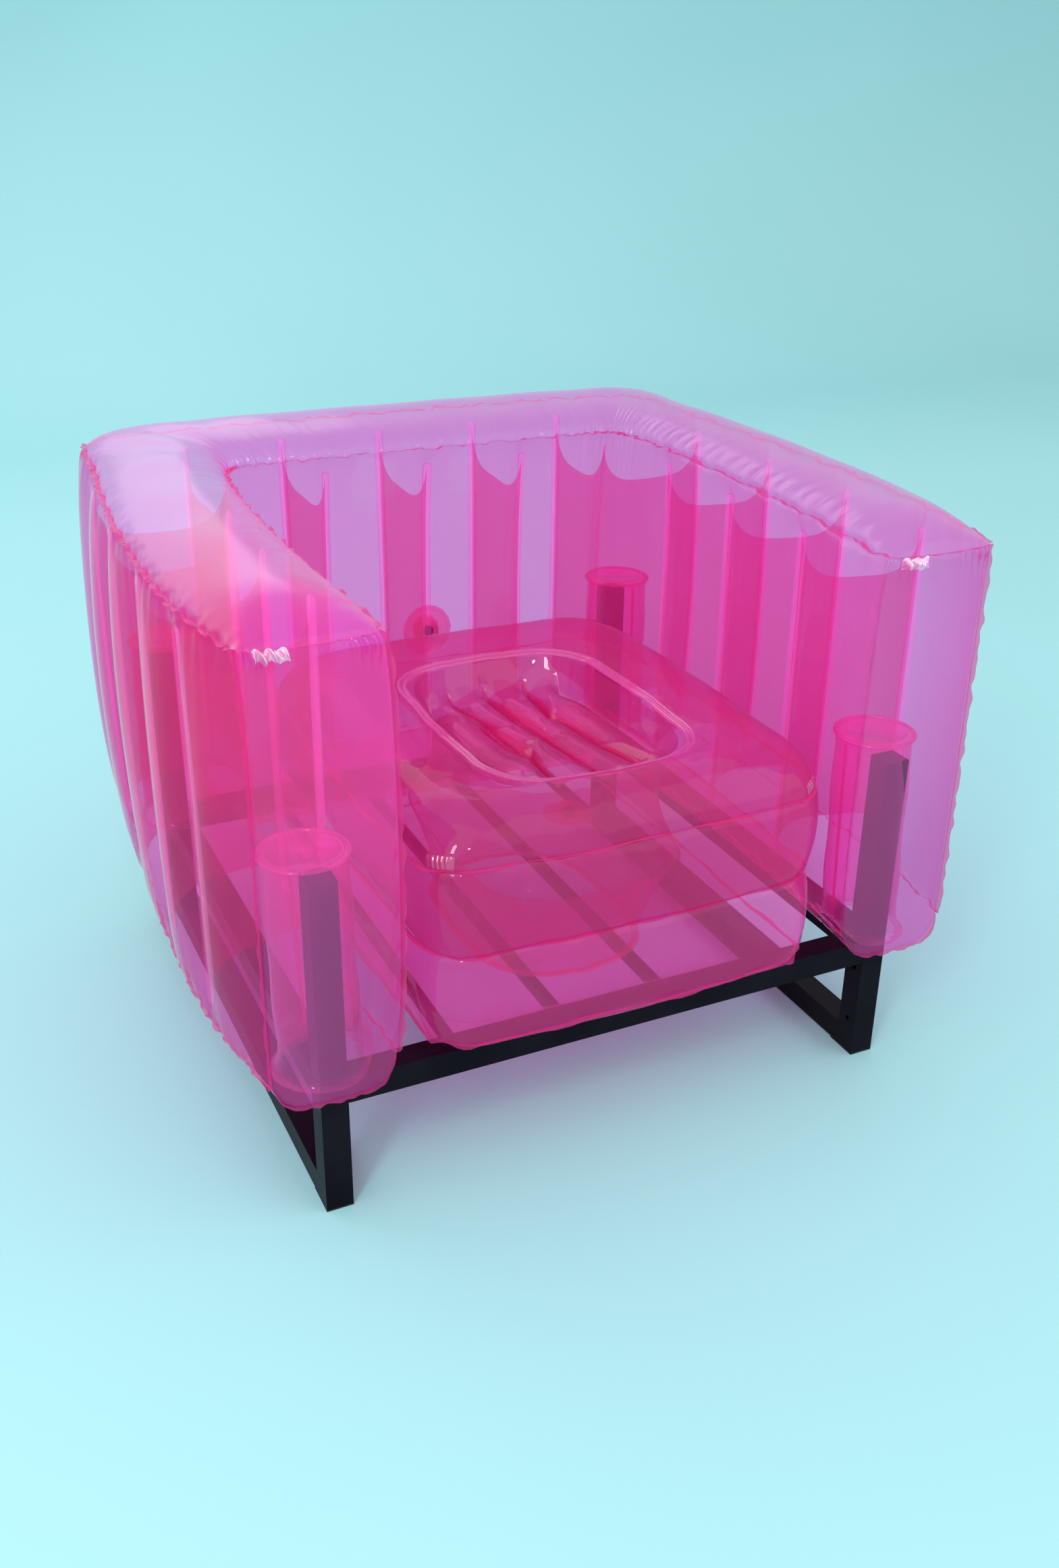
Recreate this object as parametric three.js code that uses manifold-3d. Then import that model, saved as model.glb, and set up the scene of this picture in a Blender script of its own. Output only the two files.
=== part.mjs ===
// An inflatable armchair: a transparent U of welded film that stands on a square-tube frame,
// with a separate inflated seat cushion. Millimetres, +Z up, the seat opens towards -Y.
// The skilful feature is the quilted U itself: lobed walls tied by scalloped inner webs.
import * as THREE from "three";
import { mergeVertices } from "three/addons/utils/BufferGeometryUtils.js";
import Module from "manifold-3d";

const wasm = await Module();
wasm.setup();

// Clearances and overruns
const GAP = 0.3;
const OVERRUN = 5;

// Frame of square tube
const TUBE = 30;
const TUBE_WALL = 2;
const END_PLATE = 3;
const FRAME_WIDTH = 708;
const FRAME_DEPTH = 702;
const RAIL_TOP = 164;
const GLIDE_THICKNESS = 2;
const GLIDE_LENGTH = 42;
const UPRIGHT_LENGTH = 233;
const SLAT_COUNT = 4;
const SLAT_SIZE = 12;
const SLAT_PITCH = (FRAME_WIDTH - 2 * TUBE) / (SLAT_COUNT + 1);
const SLAT_DROP = 11;
const VENT_RADIUS = 3;

// Corner bolts: from inside a post, up through the side rail, into an upright
const BOLT_RADIUS = 4;
const BOLT_HEAD_RADIUS = 7;
const BOLT_HEAD_HEIGHT = 7;
const BOLT_SOCKET_RADIUS = 3;
const BOLT_SOCKET_DEPTH = 4;
const BOLT_TIP = 2;
const ACCESS_HOLE_RADIUS = 5;
const ACCESS_HOLE_DROP = 12;
const FOOT_HOLE_RADIUS = 3.5;
const FOOT_HOLE_RISE = 14;
const BOLT_SIDES = 10;

// Film and its welds
const FILM = 0.5;
const FLANGE = 6;

// The U of arms and back, as it overhangs the frame and as thick as its arms and back are
const SIDE_OVERHANG = 80;
const FRONT_OVERHANG = 18;
const BACK_OVERHANG = 52;
const ARM_WIDTH = 144;
const BACK_WIDTH = 195;
const SEAM_RISE = 32;
const SEAM_TOP_FRONT = 484;
const SEAM_TOP_SLOPE = 20;
const CROWN = 30;
const CROWN_RUN = 95;
const NOSE = 20;
const FRONT_BOW = 9;
const OUTER_LOBE = 10;
const INNER_LOBE = 20;

// Half of each weld line in plan as [share of the half width, share of the depth], from the
// front of an arm to the middle of the back. Item 4 or 5 is its corner.
const OUTER_SEAM_SHARES = [
  [0.945, 0], [0.993, 0.174], [1, 0.372], [0.982, 0.582], [0.942, 0.791],
  [0.894, 0.962], [0.624, 0.994], [0.32, 0.999], [0, 1],
];
const OUTER_GROOVE_SHARES = [
  [0.945, 0], [1.002, 0.174], [1.012, 0.372], [1.005, 0.582], [0.982, 0.791],
  [0.917, 0.96], [0.624, 0.991], [0.32, 0.995], [0, 0.996],
];
const INNER_SEAM_SHARES = [
  [0.955, 0], [0.993, 0.296], [1, 0.567], [0.979, 0.818], [0.938, 0.948],
  [0.886, 0.991], [0.766, 0.998], [0.469, 1], [0, 1],
];
const INNER_GROOVE_SHARES = [
  [0.917, 0], [0.997, 0.296], [1.007, 0.567], [1, 0.818], [0.976, 0.969],
  [0.903, 1.059], [0.731, 1.049], [0.469, 1.042], [0, 1.038],
];
const OUTER_WELDS = [0, 1, 2, 3, 4, 6, 7, 8];
const INNER_WELDS = [0, 1, 2, 3, 5, 7, 8];
const STEPS_PER_SPAN = 4;
const WALL_HEIGHT_SHARES = [0, 0.06, 0.3, 0.7, 0.94, 1];
const CROSS_SHARES = [0, 0.1, 0.5, 0.9, 1];
const PUFF_SHARE = 0.35;
const LOBE_SHARE = 0.75;

// Inner webs between the walls
const WEB_DIP = 52;
const WEB_CROSS_SHARES = [0, 0.08, 0.3, 0.7, 0.92, 1];
const WEB_DIP_SHARES = [0, 0.62, 1, 1, 0.62, 0];

// Sleeves in the U that the uprights slide into
const SLEEVE_SETBACK = 22;
const SLEEVE_CLEARANCE = 4;
const SLEEVE_HEADROOM = 22;
const SLEEVE_RIM_DROP = 6;
const SLEEVE_FLARE = 7;
const SLEEVE_FLARE_RISE = 12;
const SLEEVE_SIDES = 12;

// Seat cushion: its slack inside the U, how far each ring is drawn in, and its heights
const CUSHION_SIDE_SLACK = 14;
const CUSHION_BACK_SLACK = 26;
const CUSHION_FRONT_SET = 2;
const CUSHION_BULGE = 11;
const CUSHION_BASE_DRAW = 14;
const CUSHION_WAIST_DRAW = 8;
const CUSHION_SEAM_RISE = 8;
const CUSHION_WAIST_RISE = 123;
const CUSHION_TOP_RISE = 222;
const CUSHION_CREST_RISE = 51;
const CUSHION_CREST_DRAW = 52;
const CUSHION_REST_DRAW = 18;
const CUSHION_SAG_DRAW = 42;
const CUSHION_CORNER_RADIUS = 62;
const CUSHION_SIDE_BOW = 6;
const CORNER_STEPS = 3;
const BAND_SHARES = [0, 0.25, 0.75, 1];
const CREST_SHARES = [0, 0.15, 0.55];

// The well in the seat and the pillar of film below it
const WELL_WIDTH = 240;
const WELL_LENGTH = 345;
const WELL_FRONT_MARGIN = 74;
const WELL_LIP_DROP = 8;
const WELL_DEPTH = 46;
const WELL_FRONT_RISE_SHARE = 0.5;
const WELL_DRAW = 22;
const WELL_CORNER_RADIUS = 70;
const WELL_SQUARENESS = 3.6;
const WELL_FOOT_SHARE = 0.86;
const WELL_ROW_SHARES = [0, 0.5];
const WELL_LOBES = 4;
const WELL_LOBE_HEIGHT = 16;
const PILLAR_WAIST_GROWTH = 4;
const PILLAR_FOOT_DRAW = 16;

// Air valves: a neck in a film disc, a ridged collar round the neck and a sprung pin inside it
const VALVE_DISC_RADIUS = 38;
const VALVE_DISC_REACH = 10;
const VALVE_NECK_RADIUS = 14;
const VALVE_BORE_RADIUS = 11.5;
const VALVE_NECK_RISE = 6;
const VALVE_BARREL = 14;
const VALVE_LEDGE_DEPTH = 3;
const VALVE_LEDGE = 1.6;
const COLLAR_RADIUS = 20;
const COLLAR_HEIGHT = 8;
const COLLAR_MOUTH_RADIUS = 9;
const COLLAR_TOP = 2;
const COLLAR_RIDGES = 12;
const COLLAR_RIDGE_HEIGHT = 1.2;
const COLLAR_RIDGE_SHARES = [0, 0.2, 0.5, 0.7];
const PIN_RADIUS = 6.5;
const PIN_HEAD_FLOOR = 1;
const PIN_HEAD_TOP = 6;
const PIN_STEM_RADIUS = 2.2;
const PIN_DISC_RADIUS = 8;
const PIN_DISC_GAP = 1;
const PIN_DISC_THICKNESS = 1.5;
const VALVE_SIDES = 16;
const BODY_VALVE_SPAN = 8.5;
const BODY_VALVE_RISE = 147;
const CUSHION_VALVE_SLAT_GAP = 4.4;
const CUSHION_VALVE_BACK_MARGIN = 67;

const FILM_PINK = { color: 0xe86ac0, roughness: 0.08, metalness: 0 };
const WEB_PINK = { color: 0xe2569f, roughness: 0.1, metalness: 0 };
const FRAME_BLACK = { color: 0x24252f, roughness: 0.45, metalness: 0.4 };
const BOLT_STEEL = { color: 0x8a8c90, roughness: 0.35, metalness: 0.9 };
const VALVE_PINK = { color: 0xdc5fa6, roughness: 0.2, metalness: 0 };
const VALVE_DARK = { color: 0x33203a, roughness: 0.4, metalness: 0 };
const GLIDE_BLACK = { color: 0x161616, roughness: 0.9, metalness: 0 };

// Closed geometries and their booleans
function welded(geometry) {
  const bare = geometry.index ? geometry.toNonIndexed() : geometry.clone();
  bare.deleteAttribute("normal");
  bare.deleteAttribute("uv");
  const merged = mergeVertices(bare, 1e-4);
  const kept = [];
  for (let i = 0; i < merged.index.count; i += 3) {
    const [a, b, c] = [merged.index.getX(i), merged.index.getX(i + 1), merged.index.getX(i + 2)];
    if (a !== b && b !== c && c !== a) {
      kept.push(a, b, c);
    }
  }
  merged.setIndex(kept);
  return merged;
}

function solidOf(geometry) {
  const merged = welded(geometry);
  const vertProperties = new Float32Array(merged.getAttribute("position").array);
  const triVerts = new Uint32Array(merged.index.array);
  return new wasm.Manifold(new wasm.Mesh({ numProp: 3, vertProperties, triVerts }));
}

function geometryOf(solid) {
  const mesh = solid.getMesh();
  const geometry = new THREE.BufferGeometry();
  geometry.setAttribute("position", new THREE.BufferAttribute(new Float32Array(mesh.vertProperties), 3));
  geometry.setIndex(new THREE.BufferAttribute(new Uint32Array(mesh.triVerts), 1));
  return geometry;
}

function cut(geometry, ...tools) {
  return geometryOf(tools.reduce((solid, tool) => solid.subtract(solidOf(tool)), solidOf(geometry)));
}

function join(...geometries) {
  const solids = geometries.map(solidOf);
  return geometryOf(solids.slice(1).reduce((whole, solid) => whole.add(solid), solids[0]));
}

// A box from its low corner to its high corner.
function block(low, high) {
  const size = high.map((value, axis) => value - low[axis]);
  const middle = high.map((value, axis) => (value + low[axis]) / 2);
  return new THREE.BoxGeometry(...size).translate(...middle);
}

// A cylinder along +Z from z0 to z1, centred on x and y.
function rod(radius, x, y, z0, z1, sides) {
  const geometry = new THREE.CylinderGeometry(radius, radius, z1 - z0, sides);
  return geometry.rotateX(Math.PI / 2).translate(x, y, (z0 + z1) / 2);
}

// A revolved solid: the profile is a list of [radius, height] that starts and ends on the axis
// or closes on itself, and its axis ends up along +Z.
function turned(profile, sides) {
  const points = profile.map(([radius, height]) => new THREE.Vector2(radius, height));
  return new THREE.LatheGeometry(points, sides).rotateX(Math.PI / 2);
}

// A closed solid between two grids of points. Each row has the same number of points, and a
// looped solid joins its last row to its first.
function slab(upper, lower, looped) {
  const rows = upper.length;
  const end = upper[0].length - 1;
  const positions = [];
  const quad = (a, b, c, d) => positions.push(...a, ...b, ...c, ...a, ...c, ...d);
  for (let i = 0; i < (looped ? rows : rows - 1); i += 1) {
    const next = (i + 1) % rows;
    for (let j = 0; j < end; j += 1) {
      quad(upper[i][j], upper[next][j], upper[next][j + 1], upper[i][j + 1]);
      quad(lower[i][j], lower[i][j + 1], lower[next][j + 1], lower[next][j]);
    }
    quad(lower[i][0], lower[next][0], upper[next][0], upper[i][0]);
    quad(upper[i][end], upper[next][end], lower[next][end], lower[i][end]);
  }
  for (let j = 0; j < end && !looped; j += 1) {
    quad(upper[0][j], upper[0][j + 1], lower[0][j + 1], lower[0][j]);
    quad(lower.at(-1)[j], lower.at(-1)[j + 1], upper.at(-1)[j + 1], upper.at(-1)[j]);
  }
  const geometry = new THREE.BufferGeometry();
  geometry.setAttribute("position", new THREE.Float32BufferAttribute(positions, 3));
  return welded(geometry);
}

// A thin closed sheet of film around a grid of middle points.
function filmSheet(grid, looped = false) {
  const rows = grid.length;
  const columns = grid[0].length;
  const rowAt = (i) => (looped ? (i + rows) % rows : THREE.MathUtils.clamp(i, 0, rows - 1));
  const columnAt = (j) => THREE.MathUtils.clamp(j, 0, columns - 1);
  const normals = grid.map((row, i) => row.map((point, j) => {
    const along = grid[rowAt(i + 1)][j].clone().sub(grid[rowAt(i - 1)][j]);
    const across = row[columnAt(j + 1)].clone().sub(row[columnAt(j - 1)]);
    return along.cross(across).normalize();
  }));
  // Where the first or last points of all rows are one, they share the mean normal beside them.
  for (const [edge, beside] of [[0, 1], [columns - 1, columns - 2]]) {
    if (looped && grid[0][edge].equals(grid[1][edge])) {
      const mean = normals.reduce((sum, row) => sum.add(row[beside]), new THREE.Vector3()).normalize();
      normals.forEach((row) => row[edge].copy(mean));
    }
  }
  const [upper, lower] = [1, -1].map((side) => grid.map((row, i) => row.map((point, j) =>
    point.clone().addScaledVector(normals[i][j], side * FILM / 2))));
  return slab(upper, lower, looped);
}

// The named meshes of the chair
const chair = new THREE.Group();
function add(name, geometry, look) {
  const mesh = new THREE.Mesh(geometry, new THREE.MeshStandardMaterial(look));
  mesh.name = name;
  chair.add(mesh);
  return mesh;
}

const SIDES = [["left", -1], ["right", 1]];
const ENDS = [["front", -1], ["rear", 1]];
const RAIL_BOTTOM = RAIL_TOP - TUBE;
const FLOOR_RAIL_TOP = GLIDE_THICKNESS + GAP + TUBE;
const HALF_WIDTH = FRAME_WIDTH / 2;
const HALF_DEPTH = FRAME_DEPTH / 2;
const TUBE_X = HALF_WIDTH - TUBE / 2;
const TUBE_Y = HALF_DEPTH - TUBE / 2;
const UPRIGHT_TOP = RAIL_TOP + GAP + UPRIGHT_LENGTH;
const SLAT_TOP = RAIL_TOP - SLAT_DROP;

// A square tube between two corners, hollow along one axis, with a plate in each end that asks
// for one.
function squareTube(low, high, axis, plates) {
  const innerLow = low.map((value) => value + TUBE_WALL);
  const innerHigh = high.map((value) => value - TUBE_WALL);
  innerLow[axis] = plates[0] ? low[axis] + END_PLATE : low[axis] - OVERRUN;
  innerHigh[axis] = plates[1] ? high[axis] - END_PLATE : high[axis] + OVERRUN;
  return cut(block(low, high), block(innerLow, innerHigh));
}

function cornerBolt(headTop, tip) {
  const headFloor = headTop - BOLT_HEAD_HEIGHT;
  return turned([
    [0, headFloor + BOLT_SOCKET_DEPTH], [BOLT_SOCKET_RADIUS, headFloor + BOLT_SOCKET_DEPTH],
    [BOLT_SOCKET_RADIUS, headFloor], [BOLT_HEAD_RADIUS, headFloor], [BOLT_HEAD_RADIUS, headTop],
    [BOLT_RADIUS, headTop], [BOLT_RADIUS, tip], [0, tip],
  ], BOLT_SIDES);
}

// One corner of the frame: post, upright, bolt and glide.
function buildCorner(corner, side, end) {
  const x = side * TUBE_X;
  const y = end * TUBE_Y;
  const shank = BOLT_RADIUS + GAP;
  const column = (z0, z1) => [
    [x - TUBE / 2, y - TUBE / 2, z0], [x + TUBE / 2, y + TUBE / 2, z1],
  ];
  const inwardHole = (radius, z) => new THREE.CylinderGeometry(radius, radius, TUBE, BOLT_SIDES)
    .rotateZ(Math.PI / 2).translate(x - side * TUBE / 2, y, z);
  const postTop = RAIL_BOTTOM - GAP;
  const post = squareTube(...column(FLOOR_RAIL_TOP + GAP, postTop), 2, [false, true]);
  const access = inwardHole(ACCESS_HOLE_RADIUS, postTop - ACCESS_HOLE_DROP);
  const footHole = inwardHole(FOOT_HOLE_RADIUS, FLOOR_RAIL_TOP + FOOT_HOLE_RISE);
  const postBolt = rod(shank, x, y, postTop - END_PLATE - OVERRUN, postTop + OVERRUN, BOLT_SIDES);
  add(`post_${corner}`, cut(post, access, footHole, postBolt), FRAME_BLACK);
  const upright = squareTube(...column(RAIL_TOP + GAP, UPRIGHT_TOP), 2, [true, true]);
  const thread = rod(shank, x, y, RAIL_TOP - OVERRUN, RAIL_TOP + END_PLATE + OVERRUN, BOLT_SIDES);
  add(`upright_${corner}`, cut(upright, thread), FRAME_BLACK);
  const bolt = cornerBolt(postTop - END_PLATE - GAP, RAIL_TOP + GAP + END_PLATE + BOLT_TIP);
  add(`corner_bolt_${corner}`, bolt.translate(x, y, 0), BOLT_STEEL);
  const glideY = [end * HALF_DEPTH, end * (HALF_DEPTH - GLIDE_LENGTH)].sort((a, b) => a - b);
  const glide = block(
    [x - TUBE / 2, glideY[0], 0], [x + TUBE / 2, glideY[1], GLIDE_THICKNESS],
  );
  add(`glide_${corner}`, glide, GLIDE_BLACK);
}

const slatPlace = (i) => (i - (SLAT_COUNT - 1) / 2) * SLAT_PITCH;

function buildFrame() {
  for (const [sideName, side] of SIDES) {
    const x = side * TUBE_X;
    const rail = (z0, z1) => squareTube(
      [x - TUBE / 2, -HALF_DEPTH, z0], [x + TUBE / 2, HALF_DEPTH, z1], 1, [true, true],
    );
    const vent = (z0, z1) => rod(VENT_RADIUS, x, 0, z0, z1, BOLT_SIDES);
    const boltHoles = ENDS.map(([, end]) => rod(
      BOLT_RADIUS + GAP, x, end * TUBE_Y, RAIL_BOTTOM - OVERRUN, RAIL_TOP + OVERRUN, BOLT_SIDES,
    ));
    const sideRail = cut(
      rail(RAIL_BOTTOM, RAIL_TOP), vent(RAIL_BOTTOM - OVERRUN, RAIL_TOP - TUBE / 2), ...boltHoles,
    );
    add(`side_rail_${sideName}`, sideRail, FRAME_BLACK);
    const floorRail = cut(
      rail(GLIDE_THICKNESS + GAP, FLOOR_RAIL_TOP), vent(0, FLOOR_RAIL_TOP - TUBE / 2),
    );
    add(`floor_rail_${sideName}`, floorRail, FRAME_BLACK);
    ENDS.forEach(([endName, end]) => buildCorner(`${endName}_${sideName}`, side, end));
  }
  const railEnd = HALF_WIDTH - TUBE - GAP;
  for (const [endName, end] of ENDS) {
    const y = end * TUBE_Y;
    const rail = squareTube(
      [-railEnd, y - TUBE / 2, RAIL_BOTTOM], [railEnd, y + TUBE / 2, RAIL_TOP], 0, [false, false],
    );
    add(`${endName}_rail`, rail, FRAME_BLACK);
  }
  const slatEnd = HALF_DEPTH - TUBE - GAP;
  for (let i = 0; i < SLAT_COUNT; i += 1) {
    const x = slatPlace(i);
    const slat = block(
      [x - SLAT_SIZE / 2, -slatEnd, SLAT_TOP - SLAT_SIZE], [x + SLAT_SIZE / 2, slatEnd, SLAT_TOP],
    );
    add(`seat_slat_${i + 1}`, slat, FRAME_BLACK);
  }
}

// The U in plan
const OUTER_HALF = HALF_WIDTH + SIDE_OVERHANG;
const INNER_HALF = OUTER_HALF - ARM_WIDTH;
const FRONT = -HALF_DEPTH - FRONT_OVERHANG;
const OUTER_BACK = HALF_DEPTH + BACK_OVERHANG;
const INNER_BACK = OUTER_BACK - BACK_WIDTH;
const SEAM_BOTTOM = RAIL_TOP + SEAM_RISE;
const SPANS = (OUTER_SEAM_SHARES.length - 1) * 2;
const STATIONS = SPANS * STEPS_PER_SPAN;

// A whole weld line is the half line and its mirror image, from the left arm to the right.
function weldLine(shares, half, back) {
  const right = shares.map(([x, y]) =>
    new THREE.Vector3(x * half, FRONT + y * (back - FRONT), 0));
  const left = right.slice(0, -1).map((point) => new THREE.Vector3(-point.x, point.y, 0));
  return new THREE.CatmullRomCurve3([...left, ...right.reverse()], false, "centripetal");
}

const seamLines = {
  outer: weldLine(OUTER_SEAM_SHARES, OUTER_HALF, OUTER_BACK),
  inner: weldLine(INNER_SEAM_SHARES, INNER_HALF, INNER_BACK),
};
const grooveLines = {
  outer: weldLine(OUTER_GROOVE_SHARES, OUTER_HALF, OUTER_BACK),
  inner: weldLine(INNER_GROOVE_SHARES, INNER_HALF, INNER_BACK),
};
const mirrored = (welds) => [...welds, ...welds.slice(0, -1).map((weld) => SPANS - weld).reverse()];
const weldStations = { outer: mirrored(OUTER_WELDS), inner: mirrored(INNER_WELDS) };
const bellies = { outer: OUTER_LOBE, inner: -INNER_LOBE };

// How far a point between two welds stands out of the line through them, from 0 to 1.
function lobeShare(welds, station) {
  const position = station / STEPS_PER_SPAN;
  const next = welds.findIndex((weld) => weld >= position);
  if (next <= 0) {
    return 0;
  }
  const share = (position - welds[next - 1]) / (welds[next] - welds[next - 1]);
  return Math.sin(Math.PI * share) ** LOBE_SHARE;
}

// Height of the top weld, which rises towards the back.
function seamTop(y) {
  return RAIL_TOP + SEAM_TOP_FRONT + SEAM_TOP_SLOPE * (y - FRONT) / (OUTER_BACK - FRONT);
}

function outwards(line, share) {
  const tangent = line.getTangent(share);
  return new THREE.Vector3(-tangent.y, tangent.x, 0).normalize();
}

// A point of a wall: station along the U and share of the height between its welds.
function wallPoint(wall, station, heightShare) {
  const share = station / STATIONS;
  const fullness = Math.sin(Math.PI * heightShare) ** PUFF_SHARE;
  const point = seamLines[wall].getPoint(share).lerp(grooveLines[wall].getPoint(share), fullness);
  const belly = bellies[wall] * lobeShare(weldStations[wall], station) * fullness;
  point.addScaledVector(outwards(grooveLines[wall], share), belly);
  point.y = Math.max(point.y, FRONT + FILM + GAP);
  const low = SEAM_BOTTOM + FILM + GAP;
  const high = seamTop(point.y) - FILM - GAP;
  point.z = low + (high - low) * heightShare;
  return point;
}

// Rows of wall points for the stations from one to another.
function wallGrid(wall, from, to) {
  const grid = [];
  for (let station = from; station <= to; station += 1) {
    grid.push(WALL_HEIGHT_SHARES.map((share) => wallPoint(wall, station, share)));
  }
  return grid;
}

// How far the weld across the front of an arm bows forwards.
const frontBow = (cross) => FRONT_BOW * Math.sqrt(Math.sin(Math.PI * cross));

// A panel that spans the U from its inner to its outer weld line, with a flange past each weld
// and a lip at the front of each arm.
function spanGrid(height) {
  const grid = [];
  for (let station = 0; station <= STATIONS; station += 2) {
    const share = station / STATIONS;
    const inner = seamLines.inner.getPoint(share);
    const outer = seamLines.outer.getPoint(share);
    const row = [inner.clone().addScaledVector(outwards(seamLines.inner, share), -FLANGE)];
    CROSS_SHARES.forEach((cross) => row.push(inner.clone().lerp(outer, cross)));
    row.push(outer.clone().addScaledVector(outwards(seamLines.outer, share), FLANGE));
    row.forEach((point, i) => {
      point.z = height(point.y, CROSS_SHARES[i - 1] ?? 0);
    });
    grid.push(row);
  }
  const [first, last] = [grid[0], grid.at(-1)];
  const bows = [0, ...CROSS_SHARES.map(frontBow), 0];
  [first, last].forEach((row) => row.forEach((point, i) => point.setY(FRONT - bows[i])));
  const lip = (row) => row.map((point) => point.clone().setY(point.y - FLANGE));
  return [lip(first), ...grid, lip(last)];
}

// The crown over the U, which rounds down to the weld at the front of each arm.
function crownHeight(y, cross) {
  const run = Math.min((y - FRONT) / CROWN_RUN, 1);
  const nose = Math.sqrt(Math.max(1 - (1 - run) ** 2, 0));
  const bow = Math.sqrt(Math.max(1 - (2 * cross - 1) ** 2, 0));
  return seamTop(y) + CROWN * nose * bow;
}

// The belly under the U, which lies on the rails and rises to the welds.
const BELLY_LOW = RAIL_TOP + GAP + FILM / 2;
const bellyHeight = (y, cross) => BELLY_LOW + (SEAM_BOTTOM - BELLY_LOW) * (2 * cross - 1) ** 8;

// The front of an arm, bowed forwards between its four welds.
function nosePanel(side) {
  const front = side < 0 ? 0 : STATIONS;
  const top = seamTop(FRONT - FRONT_BOW) - FILM - GAP;
  const column = (cross, past) => {
    const bottom = bellyHeight(FRONT, cross) + FILM + GAP;
    return WALL_HEIGHT_SHARES.map((share) => {
      const inner = wallPoint("inner", front, share).x;
      const outer = wallPoint("outer", front, share).x;
      const bow = Math.sqrt(Math.sin(Math.PI * share) * Math.sin(Math.PI * cross));
      return new THREE.Vector3(
        THREE.MathUtils.lerp(inner, outer, cross) + side * past,
        FRONT - frontBow(cross) - (NOSE - FRONT_BOW) * bow, bottom + (top - bottom) * share,
      );
    });
  };
  const grid = [
    column(0, -FLANGE), ...CROSS_SHARES.map((cross) => column(cross, 0)), column(1, FLANGE),
  ];
  return filmSheet(side > 0 ? grid : grid.reverse());
}

// A web between a weld of the inner wall and one of the outer wall. Its top and bottom edges dip
// towards its middle, so that it ends in a finger at each wall.
function webGrid(from, to) {
  const shares = WALL_HEIGHT_SHARES.slice(1, -1);
  return WEB_CROSS_SHARES.map((cross, i) => shares.map((height) => {
    const start = wallPoint("inner", from * STEPS_PER_SPAN, height);
    const end = wallPoint("outer", to * STEPS_PER_SPAN, height);
    const inset = (FILM + GAP) / start.distanceTo(end);
    const point = start.lerp(end, inset + (1 - 2 * inset) * cross);
    point.z += WEB_DIP * WEB_DIP_SHARES[i] * (1 - 2 * height) / (1 - 2 * shares[0]);
    return point;
  }));
}

// The corner web is one strip, folded where it is welded to the inner corner.
function cornerWeb(corner, toSide, toBack) {
  const [first, second] = [webGrid(corner, toSide), webGrid(corner, toBack)];
  const away = outwards(grooveLines.inner, corner / SPANS).multiplyScalar(FILM + GAP);
  const fold = first[0].map((point, j) => point.clone().lerp(second[0][j], 1 / 2).add(away));
  return filmSheet([...first.slice(1).reverse(), fold, ...second.slice(1)]);
}

function buildWebs() {
  for (const [sideName, side] of SIDES) {
    const weld = (number) => (side < 0 ? number : SPANS - number);
    [1, 2, 3].forEach((number) => {
      add(`arm_web_${sideName}_${number}`, filmSheet(webGrid(weld(number), weld(number))), WEB_PINK);
    });
    add(`corner_web_${sideName}`, cornerWeb(weld(5), weld(4), weld(6)), WEB_PINK);
  }
  [SPANS / 2 - 1, SPANS / 2, SPANS / 2 + 1].forEach((number, i) => {
    add(`back_web_${i + 1}`, filmSheet(webGrid(number, number)), WEB_PINK);
  });
}

// Sleeves: a closed top, a straight wall and a flared mouth, cut to stand on the belly panel.
const SLEEVE_Y = TUBE_Y - SLEEVE_SETBACK;
const SLEEVE_RADIUS = Math.hypot(TUBE / 2, TUBE / 2 + SLEEVE_SETBACK) + SLEEVE_CLEARANCE;
const SLEEVE_TOP = UPRIGHT_TOP + SLEEVE_HEADROOM;
function sleeve(x, y) {
  const grid = [];
  for (let i = 0; i < SLEEVE_SIDES; i += 1) {
    const angle = -2 * Math.PI * i / SLEEVE_SIDES;
    const at = (radius, z) =>
      new THREE.Vector3(x + radius * Math.cos(angle), y + radius * Math.sin(angle), z);
    grid.push([
      new THREE.Vector3(x, y, SLEEVE_TOP), at(SLEEVE_RADIUS - SLEEVE_RIM_DROP, SLEEVE_TOP),
      at(SLEEVE_RADIUS, SLEEVE_TOP - SLEEVE_RIM_DROP), at(SLEEVE_RADIUS, BELLY_LOW + SLEEVE_FLARE_RISE),
      at(SLEEVE_RADIUS + SLEEVE_FLARE, BELLY_LOW - SLEEVE_FLARE),
    ]);
  }
  return filmSheet(grid, true);
}

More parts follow.
